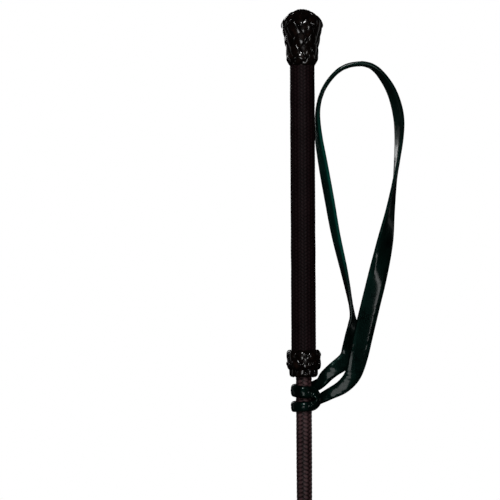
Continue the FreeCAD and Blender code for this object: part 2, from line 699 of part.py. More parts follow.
def make_strap():
    """The cow hitch round the shaft and the two legs of the loop."""
    inside = "@shaft_radius_top + @swivel_gap"
    outside = inside + " + @hitch_wall"
    for label, bottom, top in (("strap_upper_turn", "@upper_turn_bottom", "@upper_turn_top"),
                               ("strap_lower_turn", "@lower_turn_bottom", "@lower_turn_top")):
        turned(label, bottom, [
            (inside, bottom),
            (outside + " - @edge_round", bottom),
            (outside, bottom + " + @edge_round"),
            (outside, top + " - @edge_round"),
            (outside + " - @edge_round", top),
            (inside, top),
        ])
    bar = primitive("Part::Box", "bight_bar", {
        "Length": "@bight_reach",
        "Width": "@bight_breadth",
        "Height": "@bight_top - @lower_turn_bottom",
        "Placement.Base.y": "-@bight_breadth / 2",
        "Placement.Base.z": "@lower_turn_bottom",
    })
    hollow = rod_cylinder("bight_hollow", outside + " + @glue_gap",
                          "@lower_turn_bottom - @overlap", "@bight_top + @overlap")
    bight = combined("Part::Cut", "strap_bight", bar, hollow)
    pieces.append(bight)
    offset = size("leg_offset")
    inner_width, outer_width = size("inner_width"), size("outer_width")
    make_stub("strap_inner_stub", offset, size("inner_root_height"), inner_width)
    make_stub("strap_outer_stub", -offset, size("outer_root_height"), outer_width)
    make_leg("strap_inner_leg", offset, inner_width, INNER_LEG)
    make_leg("strap_outer_leg", -offset, outer_width, OUTER_LEG)


# ---------------------------------------------------------------- check and export

def check_and_export():
    """Refuse a document with a failed object, then write one STEP file for each piece."""
    for item in document.Objects:
        if "Invalid" in item.State or "Error" in item.State:
            raise RuntimeError("%s did not compute: %s" % (item.Label, item.State))
    for piece in pieces:
        if piece.Shape.isNull() or not piece.Shape.isValid() or not piece.Shape.Solids:
            raise RuntimeError("%s has no valid solid" % piece.Label)
    os.makedirs("parts", exist_ok=True)
    for piece in pieces:
        piece.Shape.exportStep("parts/%s.step" % piece.Label)
        print("%-22s %10.1f mm3  %d solid(s)" % (piece.Label, piece.Shape.Volume,
                                                 len(piece.Shape.Solids)))


make_handle()
make_lower_shaft()
make_flap_layer("flap_layer_back", 1)
make_flap_layer("flap_layer_front", -1)
make_flap_tongue()
make_stitches()
make_strap()
document.recompute()
check_and_export()
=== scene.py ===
"""Riding crop: the visual model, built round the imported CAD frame. Lengths in this file are millimetres."""
import json
import math

import bpy
import numpy as np
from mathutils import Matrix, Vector
from mathutils.bvhtree import BVHTree


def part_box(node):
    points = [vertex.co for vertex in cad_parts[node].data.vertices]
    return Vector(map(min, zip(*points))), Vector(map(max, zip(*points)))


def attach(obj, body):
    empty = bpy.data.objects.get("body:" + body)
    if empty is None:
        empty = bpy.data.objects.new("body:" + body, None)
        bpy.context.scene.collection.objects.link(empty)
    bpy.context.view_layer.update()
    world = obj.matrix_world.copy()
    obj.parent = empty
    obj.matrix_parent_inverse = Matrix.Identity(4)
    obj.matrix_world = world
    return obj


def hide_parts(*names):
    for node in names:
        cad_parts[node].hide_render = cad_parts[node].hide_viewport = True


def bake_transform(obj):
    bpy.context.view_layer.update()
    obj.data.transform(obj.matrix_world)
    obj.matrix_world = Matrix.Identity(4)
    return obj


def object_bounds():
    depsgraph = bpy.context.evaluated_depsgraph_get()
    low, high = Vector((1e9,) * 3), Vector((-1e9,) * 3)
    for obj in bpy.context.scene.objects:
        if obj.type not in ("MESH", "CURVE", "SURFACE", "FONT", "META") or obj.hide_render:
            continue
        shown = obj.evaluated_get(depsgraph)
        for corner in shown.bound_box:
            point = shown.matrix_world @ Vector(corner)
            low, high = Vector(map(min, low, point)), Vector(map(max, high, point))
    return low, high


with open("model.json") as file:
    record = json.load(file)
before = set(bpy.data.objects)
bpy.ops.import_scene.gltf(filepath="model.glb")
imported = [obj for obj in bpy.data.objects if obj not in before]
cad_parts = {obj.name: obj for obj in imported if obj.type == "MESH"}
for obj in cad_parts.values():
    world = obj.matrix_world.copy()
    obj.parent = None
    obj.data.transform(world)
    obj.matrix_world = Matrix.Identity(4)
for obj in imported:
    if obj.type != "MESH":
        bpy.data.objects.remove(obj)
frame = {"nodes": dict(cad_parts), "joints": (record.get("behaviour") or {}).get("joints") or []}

MM = 0.001
TURN = 2.0 * math.pi
CAD_LOW, CAD_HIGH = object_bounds()


# ---------------------------------------------------------------- places read from the frame

def lowest(node):
    """The lowest height of a CAD node."""
    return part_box(node)[0].z / MM


def highest(node):
    """The highest height of a CAD node."""
    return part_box(node)[1].z / MM


SURFACES = {}


def reach_out(node, y, height):
    """How far a CAD node reaches along +X at that y and height."""
    if node not in SURFACES:
        mesh = frame["nodes"][node].data
        SURFACES[node] = BVHTree.FromPolygons([v.co / MM for v in mesh.vertices],
                                              [list(face.vertices) for face in mesh.polygons])
    far = 90.0
    place = SURFACES[node].ray_cast(Vector((far, y, height)), Vector((-1.0, 0.0, 0.0)))[0]
    return place.x if place else 0.0


def outer_radius(node, height):
    """How far out a turned CAD node reaches at a height."""
    off_edge = 0.013
    return reach_out(node, off_edge, height)


def softened(values, reach):
    """A running average over that many values either side."""
    window = np.hanning(2 * reach + 1)
    return np.convolve(np.pad(values, reach, mode="edge"), window / window.sum(), mode="valid")


def turned_profile(node, step, soften):
    """Heights and radii up a turned CAD node, with its corners softened over that many steps."""
    edge = 0.02
    heights = np.arange(lowest(node) + edge, highest(node) - edge, step)
    radii = np.array([outer_radius(node, height) for height in heights])
    return heights, softened(radii, soften)


# ---------------------------------------------------------------- shares and humps

def above(values, limit, fade):
    """0 under a limit, rising to 1 over that distance."""
    return np.clip((values - limit) / fade, 0.0, 1.0)


def below(values, limit, fade):
    """0 over a limit, rising to 1 that distance under it."""
    return np.clip((limit - values) / fade, 0.0, 1.0)


def hump(values, centre, breadth):
    """A smooth hump: 1 at the centre, nearly nothing two breadths away."""
    return np.exp(-((values - centre) / breadth) ** 2)


# ---------------------------------------------------------------- meshes

def grid_faces(rows, columns, close_rows=False, close_columns=True, shift=0):
    """Four-sided faces over a grid of points; shift turns the joint between the last row and the first."""
    row = np.arange(rows if close_rows else rows - 1)
    column = np.arange(columns if close_columns else columns - 1)
    r, c = np.meshgrid(row, column, indexing="ij")
    r_next = (r + 1) % rows
    c_next = (c + 1) % columns
    slip = np.where((r == rows - 1) & close_rows, shift, 0)
    a = r * columns + c
    b = r * columns + c_next
    d = r_next * columns + (c + slip) % columns
    e = r_next * columns + (c_next + slip) % columns
    return np.stack([a, b, e, d], axis=-1).reshape(-1, 4)


def end_caps(rows, columns, first=0):
    """The two faces that close the ends of a tube of points."""
    ring = list(range(first, first + columns))
    return [ring[::-1], [k + (rows - 1) * columns for k in ring]]


def angles_round(columns):
    """Evenly spaced angles once round the axis."""
    return TURN * np.arange(columns) / columns


def turned_rows(radius, height, columns):
    """Rows of points round the axis, one for each height; the radius may also differ round a row."""
    angle = angles_round(columns)
    radius = radius.reshape(len(height), -1)
    height = np.repeat(height[:, None], columns, axis=1)
    return np.stack([radius * np.cos(angle), radius * np.sin(angle), height], -1)


def quads_face_out(points, quads):
    """Whether an array of four-sided faces turns outwards."""
    a, b, c, d = (points[quads[:, k]] for k in range(4))
    volume = np.einsum("ij,ij->i", a, np.cross(b, c)).sum()
    volume += np.einsum("ij,ij->i", a, np.cross(c, d)).sum()
    return volume > 0


def piece(name, points, quads, finish, slot, caps=(), **facts):
    """A smooth-shaded mesh object from points in millimetres, with a float attribute for each fact."""
    points = np.asarray(points, float).reshape(-1, 3)
    turn_over = not quads_face_out(points, quads)
    faces = quads[:, ::-1].tolist() if turn_over else quads.tolist()
    for cap in caps:
        faces.append(cap[::-1] if turn_over else cap)
    mesh = bpy.data.meshes.new(name)
    mesh.from_pydata((points * MM).tolist(), [], faces)
    for fact, values in facts.items():
        layer = mesh.attributes.new(fact, "FLOAT", "POINT")
        layer.data.foreach_set("value", np.asarray(values, np.float32).reshape(-1))
    mesh.shade_smooth()
    made = bpy.data.objects.new(name, mesh)
    bpy.context.scene.collection.objects.link(made)
    made.data.materials.append(finish)
    return made


def rounded_section(count, squareness):
    """Across and through shares, -1 to 1, round a rounded rectangle."""
    angle = angles_round(count)
    across = np.sign(np.cos(angle)) * np.abs(np.cos(angle)) ** (2.0 / squareness)
    through = np.sign(np.sin(angle)) * np.abs(np.sin(angle)) ** (2.0 / squareness)
    return across, through


def unit(vectors):
    """Each vector at length 1."""
    return vectors / np.linalg.norm(vectors, axis=-1, keepdims=True)


def directions(path, closed=False):
    """The direction of travel at each point of a path."""
    if closed:
        return unit(np.roll(path, -1, axis=0) - np.roll(path, 1, axis=0))
    return unit(np.gradient(path, axis=0))


def swept(path, across, through, width, thickness, section):
    """Points of a ribbon along a path: one row of section points for each path point."""
    u, v = section
    side = across[:, None, :] * u[None, :, None] * (width / 2.0)[:, None, None]
    lift = through[:, None, :] * v[None, :, None] * (thickness / 2.0)[:, None, None]
    return path[:, None, :] + side + lift


def smooth_curve(stations, step):
    """A curve through rows of numbers whose first three are a place, at even steps of arc length."""
    stations = np.asarray(stations, float)
    ends = np.vstack([2 * stations[0] - stations[1], stations, 2 * stations[-1] - stations[-2]])
    samples = 40
    rows = []
    for k in range(1, len(ends) - 2):
        p0, p1, p2, p3 = ends[k - 1:k + 3]
        t = (np.arange(samples) / samples)[:, None]
        rows.append(0.5 * (2 * p1 + (p2 - p0) * t + (2 * p0 - 5 * p1 + 4 * p2 - p3) * t ** 2
                           + (3 * p1 - p0 - 3 * p2 + p3) * t ** 3))
    rows.append(stations[-1:])
    dense = np.vstack(rows)
    return evenly(dense, step)


def evenly(dense, step):
    """The rows of a curve again, at even steps of arc length."""
    length = np.concatenate([[0.0], np.cumsum(np.linalg.norm(np.diff(dense[:, :3], axis=0), axis=1))])
    count = max(2, int(round(length[-1] / step)) + 1)
    at = np.linspace(0.0, length[-1], count)
    return np.stack([np.interp(at, length, dense[:, k]) for k in range(dense.shape[1])], axis=1)


def ripple(place, seeds, scale):
    """Smooth, repeatable unevenness from -1 to 1 along one or more coordinates."""
    total, detune = 0.0, 0.37
    for k, seed in enumerate(seeds):
        total = total + np.sin(place * scale * (1.0 + detune * k) + seed)
    return total / len(seeds)


# ---------------------------------------------------------------- material parts

class Finish:
    """A procedural material under construction: one principled shader and the nodes that feed it."""

    def __init__(self, name, roughness, **sockets):
        self.material = bpy.data.materials.new(name)
        self.material.use_nodes = True
        self.tree = self.material.node_tree
        self.shader = self.tree.nodes["Principled BSDF"]
        self.shader.inputs["Roughness"].default_value = roughness
        for socket, value in sockets.items():
            self.shader.inputs[socket.replace("_", " ")].default_value = value
        self.place = self.node("ShaderNodeTexCoord").outputs["Object"]
        self.last_bump = None

    def node(self, kind, **settings):
        """A new node of that kind, with those settings."""
        made = self.tree.nodes.new(kind)
        for key, value in settings.items():
            setattr(made, key, value)
        return made

    def link(self, source, target):
        """Feeds an output into an input."""
        self.tree.links.new(source, target)

    def stretched(self, x, y, z):
        """Object coordinates scaled on each axis, so a pattern can run along the crop."""
        mapping = self.node("ShaderNodeMapping")
        mapping.inputs["Scale"].default_value = (x, y, z)
        self.link(self.place, mapping.inputs["Vector"])
        return mapping.outputs["Vector"]

    def noise(self, size, detail=3.0, vector=None, distortion=0.0):
        """Noise with features about that many millimetres across."""
        made = self.node("ShaderNodeTexNoise")
        made.inputs["Scale"].default_value = 1.0 / (size * MM)
        made.inputs["Detail"].default_value = detail
        made.inputs["Distortion"].default_value = distortion
        self.link(vector or self.place, made.inputs["Vector"])
        return made.outputs["Fac"]

    def pores(self, size):
        """Leather's cells, that many millimetres across: 0 in the creases between them, 1 on top."""
        made = self.node("ShaderNodeTexVoronoi", feature="DISTANCE_TO_EDGE")
        made.inputs["Scale"].default_value = 1.0 / (size * MM)
        self.link(self.place, made.inputs["Vector"])
        return self.spread(made.outputs["Distance"], 0.0, 0.25, 0.0, 1.0)

    def bands(self, size, direction, distortion=0.0):
        """Waves across that direction, of about that many millimetres."""
        made = self.node("ShaderNodeTexWave", wave_type="BANDS", bands_direction=direction)
        made.inputs["Scale"].default_value = 1.0 / (size * MM)
        made.inputs["Distortion"].default_value = distortion
        self.link(self.place, made.inputs["Vector"])
        return made.outputs["Fac"]

    def fact(self, name):
        """A float attribute of the mesh."""
        return self.node("ShaderNodeAttribute", attribute_name=name).outputs["Fac"]

    def spread(self, value, low, high, new_low, new_high):
        """A value mapped from one range to another, and kept inside it."""
        made = self.node("ShaderNodeMapRange")
        for socket, number in zip(("From Min", "From Max", "To Min", "To Max"),
                                  (low, high, new_low, new_high)):
            made.inputs[socket].default_value = number
        self.link(value, made.inputs["Value"])
        return made.outputs["Result"]

    def math(self, operation, first, second):
        """Arithmetic on two values, either of which may be a number."""
        made = self.node("ShaderNodeMath", operation=operation)
        for socket, value in zip(made.inputs, (first, second)):
            if isinstance(value, (int, float)):
                socket.default_value = value
            else:
                self.link(value, socket)
        return made.outputs["Value"]

    def weigh(self, first, share, second, other_share):
        """Two values added, each times its share."""
        return self.math("ADD", self.math("MULTIPLY", first, share),
                         self.math("MULTIPLY", second, other_share))

    def colour(self, value, *stops):
        """Colours the surface by a ramp over a value: each stop is a place from 0 to 1 and a colour."""
        made = self.node("ShaderNodeValToRGB")
        ramp = made.color_ramp
        while len(ramp.elements) < len(stops):
            ramp.elements.new(0.5)
        for element, (place, colour) in zip(ramp.elements, stops):
            element.position = place
            element.color = (*colour, 1.0)
        self.link(value, made.inputs["Fac"])
        self.link(made.outputs["Color"], self.shader.inputs["Base Color"])

    def roughness(self, value, smooth, dull):
        """Roughness that goes from smooth to dull over the middle of a value's range."""
        self.link(self.spread(value, 0.3, 0.7, smooth, dull), self.shader.inputs["Roughness"])

    def bump(self, height, distance, strength=1.0):
        """Adds relief that many millimetres deep."""
        made = self.node("ShaderNodeBump")
        made.inputs["Distance"].default_value = distance * MM
        made.inputs["Strength"].default_value = strength
        self.link(height, made.inputs["Height"])
        if self.last_bump is not None:
            self.link(self.last_bump, made.inputs["Normal"])
        self.last_bump = made.outputs["Normal"]
        self.link(self.last_bump, self.shader.inputs["Normal"])


GREEN_CAST = (0.30, 1.0, 0.82, 1.0)


def leather(name, stops, smooth, dull, grain, coat=0.0, polish=0.10, grain_depth=0.04, shine=0.08,
            follows=None):
    """Polished leather: pores and fine wrinkles in relief, clouded colour, uneven polish.

    The colour may also follow a float attribute of the mesh, which paints a sheen onto it.
    """
    finish = Finish(name, smooth, Coat_Weight=coat, Coat_Roughness=polish, Specular_IOR_Level=shine,
                    Specular_Tint=GREEN_CAST)
    cloud = finish.noise(9.0, detail=5.0)
    mottle = finish.noise(grain * 2.6, detail=4.0, distortion=0.6)
    mixed = finish.weigh(cloud, 0.6, mottle, 0.4)
    # With an attribute given, the colour mixes the clouds with a painted sheen.
    colour_and_painted_sheen = finish.weigh(cloud, 0.45, finish.fact(follows), 0.55) if follows else mixed
    finish.colour(colour_and_painted_sheen, *stops)
    finish.roughness(mixed, smooth, dull)
    finish.bump(finish.pores(grain), grain_depth, 0.55)
    finish.bump(finish.noise(grain * 4.0, detail=4.0, distortion=0.8), grain_depth * 2.2, 0.5)
    return finish


def strap_leather():
    """Black strap leather with pulled grain and a painted green sheen on the inner leg and the faces towards
    the middle of the loop.
    """
    # The greener stops are a painted sheen, reached where the inside attribute is high.
    stops = ((0.15, (0.0003, 0.0010, 0.0009)), (0.36, (0.0020, 0.0095, 0.0075)),
             (0.66, (0.0016, 0.0300, 0.0220)), (0.88, (0.0025, 0.0650, 0.0470)))
    # The inside attribute paints the green sheen onto the strap.
    finish = leather("strap_leather", stops, 0.24, 0.38, 0.55, coat=0.24, grain_depth=0.025, shine=0.07,
                     follows="inside")
    pull = finish.noise(1.6, detail=3.0, vector=finish.stretched(1.0, 1.0, 0.22), distortion=0.5)
    finish.bump(pull, 0.16, 0.55)
    return finish.material


def flap_leather():
    """Smooth calf-like leather of the flap: dark, mottled, with a soft greenish shine."""
    stops = (0.30, (0.0004, 0.0012, 0.0010)), (0.72, (0.0024, 0.0080, 0.0066))
    return leather("flap_leather", stops, 0.34, 0.48, 0.75, coat=0.08, polish=0.24, grain_depth=0.09,
                   shine=0.12).material


def sleeve_leather():
    """Thin black leather drawn tight over the tip, with a blue-green polish."""
    stops = (0.30, (0.0010, 0.0036, 0.0042)), (0.72, (0.0036, 0.0110, 0.0135))
    return leather("sleeve_leather", stops, 0.22, 0.34, 0.45, coat=0.3, grain_depth=0.025).material


def neck_leather():
    """The neck wrap's leather, duller and browner than the sleeve."""
    stops = (0.30, (0.0014, 0.0018, 0.0017)), (0.72, (0.0046, 0.0054, 0.0050))
    return leather("neck_leather", stops, 0.36, 0.55, 0.5, coat=0.08).material


def plait_leather():
    """Glossy brown-black laces with clouded colour, and painted shade: darker towards each lace's edges and
    on the lining between laces.
    """
    finish = Finish("plait_leather", 0.2, Coat_Weight=0.8, Coat_Roughness=0.10, Specular_IOR_Level=0.1)
    cloud = finish.noise(2.4, detail=5.0, distortion=0.4)
    # edge is painted shade, darkening each lace towards its edges and the lining between laces.
    edge = finish.fact("edge")
    tone_and_painted_shade = finish.math("SUBTRACT", cloud, finish.math("MULTIPLY", edge, 0.35))
    finish.colour(tone_and_painted_shade, (0.10, (0.0008, 0.0004, 0.0003)), (0.50, (0.0040, 0.0019, 0.0014)),
                  (0.80, (0.0180, 0.0085, 0.0060)))
    finish.roughness(cloud, 0.16, 0.34)
    finish.bump(finish.pores(0.38), 0.022, 0.5)
    finish.bump(finish.noise(1.3, detail=3.0), 0.05, 0.5)
    return finish.material


def thread(name, deep, body, crest, rough, shine):
    """Braided thread: fibres along each strand, colour following the braid's height: painted shade darkens
    the gaps, the crests are paler.
    """
    finish = Finish(name, rough, Specular_IOR_Level=shine)
    fibre_turns = 26.0
    stripes = finish.math("SINE", finish.math("MULTIPLY", finish.fact("lay"), fibre_turns), 0.0)
    fibres = finish.spread(stripes, -1.0, 1.0, 0.0, 1.0)
    wear = finish.noise(14.0, detail=3.0)
    speckle = finish.noise(0.9, detail=2.0)
    # The height attribute paints shade into the gaps between strands and lightens the crests.
    tone_and_painted_shade = finish.weigh(finish.fact("height"), 0.72, finish.math("ADD", wear, speckle), 0.20)
    tone_and_painted_shade = finish.math("ADD", tone_and_painted_shade, finish.math("MULTIPLY", fibres, 0.06))
    # deep is the painted shade colour of the gaps; crest is the colour on the crests.
    finish.colour(tone_and_painted_shade, (0.30, deep), (0.72, body), (1.0, crest))
    finish.roughness(speckle, rough - 0.08, rough + 0.12)
    finish.bump(fibres, 0.035, 0.6)
    finish.bump(finish.noise(0.25, detail=2.0), 0.03, 0.4)
    return finish.material


def grip_thread():
    """The grip's dull brown-black thread."""
    return thread("grip_thread", (0.0005, 0.0002, 0.0003), (0.0034, 0.0013, 0.0017),
                  (0.0200, 0.0095, 0.0110), 0.42, 0.06)


def shaft_thread():
    """The shaft's shinier thread, with reddish crests."""
    return thread("shaft_thread", (0.0006, 0.0002, 0.0002), (0.0090, 0.0033, 0.0038),
                  (0.1200, 0.0640, 0.0680), 0.36, 0.16)


def stitch_thread():
    """Pale grey waxed thread."""
    finish = Finish("stitch_thread", 0.5, Sheen_Weight=0.2)
    finish.colour(finish.noise(0.5, detail=3.0), (0.3, (0.22, 0.23, 0.225)), (0.7, (0.46, 0.48, 0.47)))
    finish.bump(finish.bands(0.9, "DIAGONAL"), 0.05, 0.7)
    return finish.material


def binding_thread():
    """Fine waxed thread wound in a close single layer, darker in the grooves between turns as painted shade.
    """
    finish = Finish("binding_thread", 0.5)
    turns = finish.bands(1.2, "Z", 0.6)
    # Dark in the grooves between turns: painted shade.
    finish.colour(turns, (0.0, (0.006, 0.005, 0.005)), (1.0, (0.035, 0.030, 0.028)))
    finish.bump(turns, 0.12, 0.8)
    return finish.material


def glass_fibre():
    """Pultruded glass rod: resin over fibres that run along it."""
    finish = Finish("glass_fibre", 0.32, Coat_Weight=0.3)
    strands = finish.noise(0.5, detail=4.0, vector=finish.stretched(1.0, 1.0, 0.03))
    finish.colour(strands, (0.3, (0.16, 0.15, 0.10)), (0.7, (0.42, 0.41, 0.31)))
    finish.roughness(strands, 0.24, 0.42)
    finish.bump(strands, 0.04, 0.5)
    return finish.material


def former_wood():
    """Turned beech: growth rings stretched along the grain."""
    finish = Finish("former_wood", 0.55)
    grain = finish.noise(2.0, detail=6.0, vector=finish.stretched(1.0, 1.0, 0.12), distortion=1.2)
    finish.colour(grain, (0.3, (0.20, 0.10, 0.045)), (0.7, (0.45, 0.27, 0.13)))
    finish.roughness(grain, 0.45, 0.68)
    finish.bump(grain, 0.08, 0.5)
    return finish.material


# ---------------------------------------------------------------- braided thread

def twill_braid(angle, height, strands, pitch):
    """Relief of a two-over-two braid at points on a tube.

    Gives the height from 0 to 1, and a coordinate that counts fibres across each strand.
    """
    round_tube = angle * strands / TURN
    left = round_tube + height / pitch
    right = round_tube - height / pitch
    quarter = math.pi / 2.0
    lean = 0.34

    def strand(across, along, sign):
        middle = across - np.floor(across) - 0.5
        dome = np.sqrt(np.clip(1.0 - (middle / 0.56) ** 2, 0.0, 1.0))
        lift = sign * np.cos(quarter * (along + np.floor(across)))
        return 0.5 + 0.30 * (dome - 0.6) + lean * lift, middle

    left_height, left_middle = strand(left, right, 1.0)
    right_height, right_middle = strand(right, left, -1.0)
    on_top = left_height > right_height
    relief = np.where(on_top, left_height, right_height)
    return np.clip(relief, 0.0, 1.0), np.where(on_top, left_middle, right_middle)


def braid_tube(name, heights, radii, inner, strands, pitch, depth, detail, finish, slot):
    """A closed braided sleeve: relief outside, and an inner wall that follows the piece inside."""
    columns = strands * detail
    grid_angle, grid_height = np.meshgrid(angles_round(columns), heights)
    relief, lay = twill_braid(grid_angle, grid_height, strands, pitch)
    sway, thick_enough, wall_step = 0.06, 3.0, 12
    uneven = sway * ripple(grid_height + 3.0 * np.sin(grid_angle), (0.3, 2.1, 4.4), 0.21)
    radius = radii[:, None] - depth * (1.0 - relief) + uneven * (radii[:, None] > thick_enough)
    wall_rows = np.arange(0, len(heights), wall_step)[::-1]
    if wall_rows[0] != len(heights) - 1:
        wall_rows = np.concatenate([[len(heights) - 1], wall_rows])
    points = np.vstack([turned_rows(radius, heights, columns),
                        turned_rows(inner[wall_rows], heights[wall_rows], columns)])
    quads = grid_faces(len(points), columns, close_rows=True)
    wall_fact = np.zeros((len(wall_rows), columns))
    # The height attribute also sets the thread's colour: painted shade in the gaps.
    return piece(name, points, quads, finish, slot, height=np.vstack([relief, wall_fact]),
                 lay=np.vstack([lay, wall_fact]))


# ---------------------------------------------------------------- the shaft

SHAFT_STRANDS, SHAFT_PITCH = 8, 2.4
JOINT_HEIGHT = {joint["name"]: joint["pos_m"][2] / MM for joint in frame["joints"]}
CUT_UPPER = (JOINT_HEIGHT["shaft_flex_upper"] + JOINT_HEIGHT["shaft_flex_middle"]) / 2.0
CUT_LOWER = (JOINT_HEIGHT["shaft_flex_middle"] + JOINT_HEIGHT["shaft_flex_lower"]) / 2.0
SHAFT_PARTS = ("handle", "upper_flex", "lower_flex", "tip")


def smooth_taper(kind, heights):
    """The radius of the braid or of the rod at each height, as one smooth taper."""
    nodes = [f"{kind}_{part}" for part in SHAFT_PARTS]
    inset = 0.6
    places, radii = [], []
    for node in nodes:
        for height in np.linspace(lowest(node) + inset, highest(node) - inset, 24):
            places.append(height)
            radii.append(outer_radius(node, height))
    order = np.argsort(places)
    raw = np.interp(heights, np.array(places)[order], np.array(radii)[order])
    reach = 18.0
    step = abs(heights[1] - heights[0])
    return softened(raw, max(1, int(reach / step)))


def bend_between(made):
    """Bakes the placement of a length of shaft into its mesh; it is not bent."""
    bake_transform(made)


# Each length of the shaft: its name, the bodies above and below its joint, the joint, and the CAD
# parts it stands for.
SHAFT_RUNS = (
    ("upper", "handle", "shaft_upper_flex", "shaft_flex_upper", ("handle", "upper_flex")),
    ("middle", "shaft_upper_flex", "shaft_lower_flex", "shaft_flex_middle", ("lower_flex",)),
    ("lower", "shaft_lower_flex", "shaft_tip", "shaft_flex_lower", ("tip",)),
)


def run_limits(kind):
    """The foot and the head of each length of the braid or of the rod."""
    bottom, top = lowest(f"{kind}_tip"), highest(f"{kind}_handle")
    return {"upper": (CUT_UPPER, top), "middle": (CUT_LOWER, CUT_UPPER), "lower": (bottom, CUT_LOWER)}


def make_shaft_braid():
    """The herring-bone braid over the shaft, in three lengths that meet in step."""
    finish = shaft_thread()
    step = 0.24
    bottom = lowest("shaft_braid_tip")
    top = highest("shaft_braid_handle")
    every = np.arange(bottom, top + step, step)
    every[-1] = top
    radii = smooth_taper("shaft_braid", every)
    gap, wall, clear, relief, detail = 0.02, 0.35, 0.05, 0.42, 10
    inner = np.minimum(smooth_taper("core_rod", every) + gap, radii - wall)
    for label, upper, lower, joint, parts in SHAFT_RUNS:
        low, high = run_limits("shaft_braid")[label]
        inside = every[(every > low + clear) & (every < high - clear)]
        heights = np.concatenate([[low], inside, [high]])
        made = braid_tube(f"shaft_braid_{label}", heights, np.interp(heights, every, radii),
                          np.interp(heights, every, inner), SHAFT_STRANDS, SHAFT_PITCH, relief, detail,
                          finish, "shaft_thread")
        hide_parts(*[f"shaft_braid_{part}" for part in parts])
        bend_between(made)


def make_core_rod(finish):
    """The tapered glass rod, in the same three lengths as its braid."""
    step = 3.0
    every = np.arange(lowest("core_rod_tip"), highest("core_rod_handle"), step)
    radii = smooth_taper("core_rod", every)
    columns, chamfer = 32, 0.3
    for label, upper, lower, joint, parts in SHAFT_RUNS:
        low, high = run_limits("core_rod")[label]
        inside = every[(every > low + step / 2) & (every < high - step / 2)]
        heights = np.concatenate([[low, low + chamfer], inside, [high - chamfer, high]])
        radius = np.interp(heights, every, radii)
        radius[[0, -1]] -= chamfer
        made = piece(f"core_rod_{label}", turned_rows(radius, heights, columns),
                     grid_faces(len(heights), columns), finish, "glass_fibre",
                     end_caps(len(heights), columns))
        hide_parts(*[f"core_rod_{part}" for part in parts])
        bend_between(made)


# ---------------------------------------------------------------- the grip

GRIP_STRANDS, GRIP_PITCH = 22, 2.0


def make_grip_braid():
    """The fine dark braid over the grip."""
    low, high = lowest("grip_braid"), highest("grip_braid")
    step, gap, relief, detail = 0.28, 0.02, 0.42, 7
    heights = np.arange(low, high, step)
    radii = np.full(len(heights), outer_radius("grip_braid", (low + high) / 2.0))
    inner = np.full(len(heights), outer_radius("grip_former", 0.0) + gap)
    made = braid_tube("grip_braid_sleeve", heights, radii, inner, GRIP_STRANDS, GRIP_PITCH, relief, detail,
                      grip_thread(), "grip_thread")
    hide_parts("grip_braid")
    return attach(made, "handle")


# ---------------------------------------------------------------- plaited leather

class Plait:
    """A surface of revolution that laces are plaited over."""

    def __init__(self, heights, radii, strands, steepness):
        rise = np.concatenate([[0.0], np.cumsum(np.hypot(np.diff(heights), np.diff(radii)))])
        self.rise, self.heights, self.radii = rise, heights, radii
        self.length = rise[-1]
        self.strands = strands
        self.steepness = math.radians(steepness)
        slope = np.gradient(heights, rise), np.gradient(radii, rise)
        size = np.hypot(*slope)
        self.out_radius, self.out_height = slope[0] / size, -slope[1] / size

    def radius(self, rise):
        """The surface's radius at a distance along it."""
        return np.interp(rise, self.rise, self.radii)

    def spot(self, rise, turn, depth):
        """A place that far under the surface, and the way out of the surface there."""
        radius = self.radius(rise)
        height = np.interp(rise, self.rise, self.heights)
        out = np.interp(rise, self.rise, self.out_radius)
        up = np.interp(rise, self.rise, self.out_height)
        angle = TURN * turn
        radial = np.stack([np.cos(angle), np.sin(angle), np.zeros_like(angle)], -1)
        axis = np.array([0.0, 0.0, 1.0])
        normal = unit(radial * out[:, None] + axis * up[:, None])
        place = radial * radius[:, None] + axis * height[:, None] - normal * depth[:, None]
        return place, normal

    def pitch(self, rise):
        """The distance from one strand to the next, square to the strand."""
        return TURN * self.radius(rise) / self.strands * math.sin(self.steepness)


def crossing_lift(count):
    """Over and under: 1 at the first crossing, -1 at the second, and so on; 0 at the turn-back."""
    start = np.sin(np.clip(count, 0.0, 1.0) * math.pi / 2.0)
    return np.where(count < 1.0, start, -np.cos(math.pi * count))


LACE = {
    "thickness": 1.6, "lift": 0.42, "cover": 0.95, "full_pitch": 4.0, "slimmest": 0.35, "narrowest": 0.62,
}


def narrowed(share):
    """A lace's share of its width, from narrowest at its turn-back (0) to full (1)."""
    return LACE["narrowest"] + (1.0 - LACE["narrowest"]) * share


def lace_points(plait, rise, turn, lift, narrow, closed=False):
    """Section rows of one lace that runs over and under the others of a plait."""
    pitch = plait.pitch(rise)
    slim = np.clip(pitch / LACE["full_pitch"], LACE["slimmest"], 1.0)
    thickness = LACE["thickness"] * slim
    depth = thickness / 2.0 + LACE["lift"] * slim * (1.0 - lift)
    path, normal = plait.spot(rise, turn, depth)
    travel = directions(path, closed)
    side = unit(np.cross(travel, normal))
    normal = np.cross(side, travel)
    width = LACE["cover"] * pitch * narrow
    section = rounded_section(16, 2.0)
    return swept(path, side, normal, width, thickness, section), section


def join_laces(name, laces, closed_shift, finish, slot):
    """One mesh from several laces, each with closed ends or closed on itself."""
    points, quads, caps, edges, first = [], [], [], [], 0
    for rows, section in laces:
        count, columns = rows.shape[:2]
        closed = closed_shift is not None
        points.append(rows.reshape(-1, 3))
        quads.append(grid_faces(count, columns, close_rows=closed, shift=closed_shift or 0) + first)
        if not closed:
            caps += end_caps(count, columns, first)
        # The edge attribute paints shade towards each lace's edges.
        edges.append(np.tile(np.abs(section[0]) ** 3, count))
        first += count * columns
    return piece(name, np.vstack(points), np.vstack(quads), finish, slot, caps, edge=np.concatenate(edges))


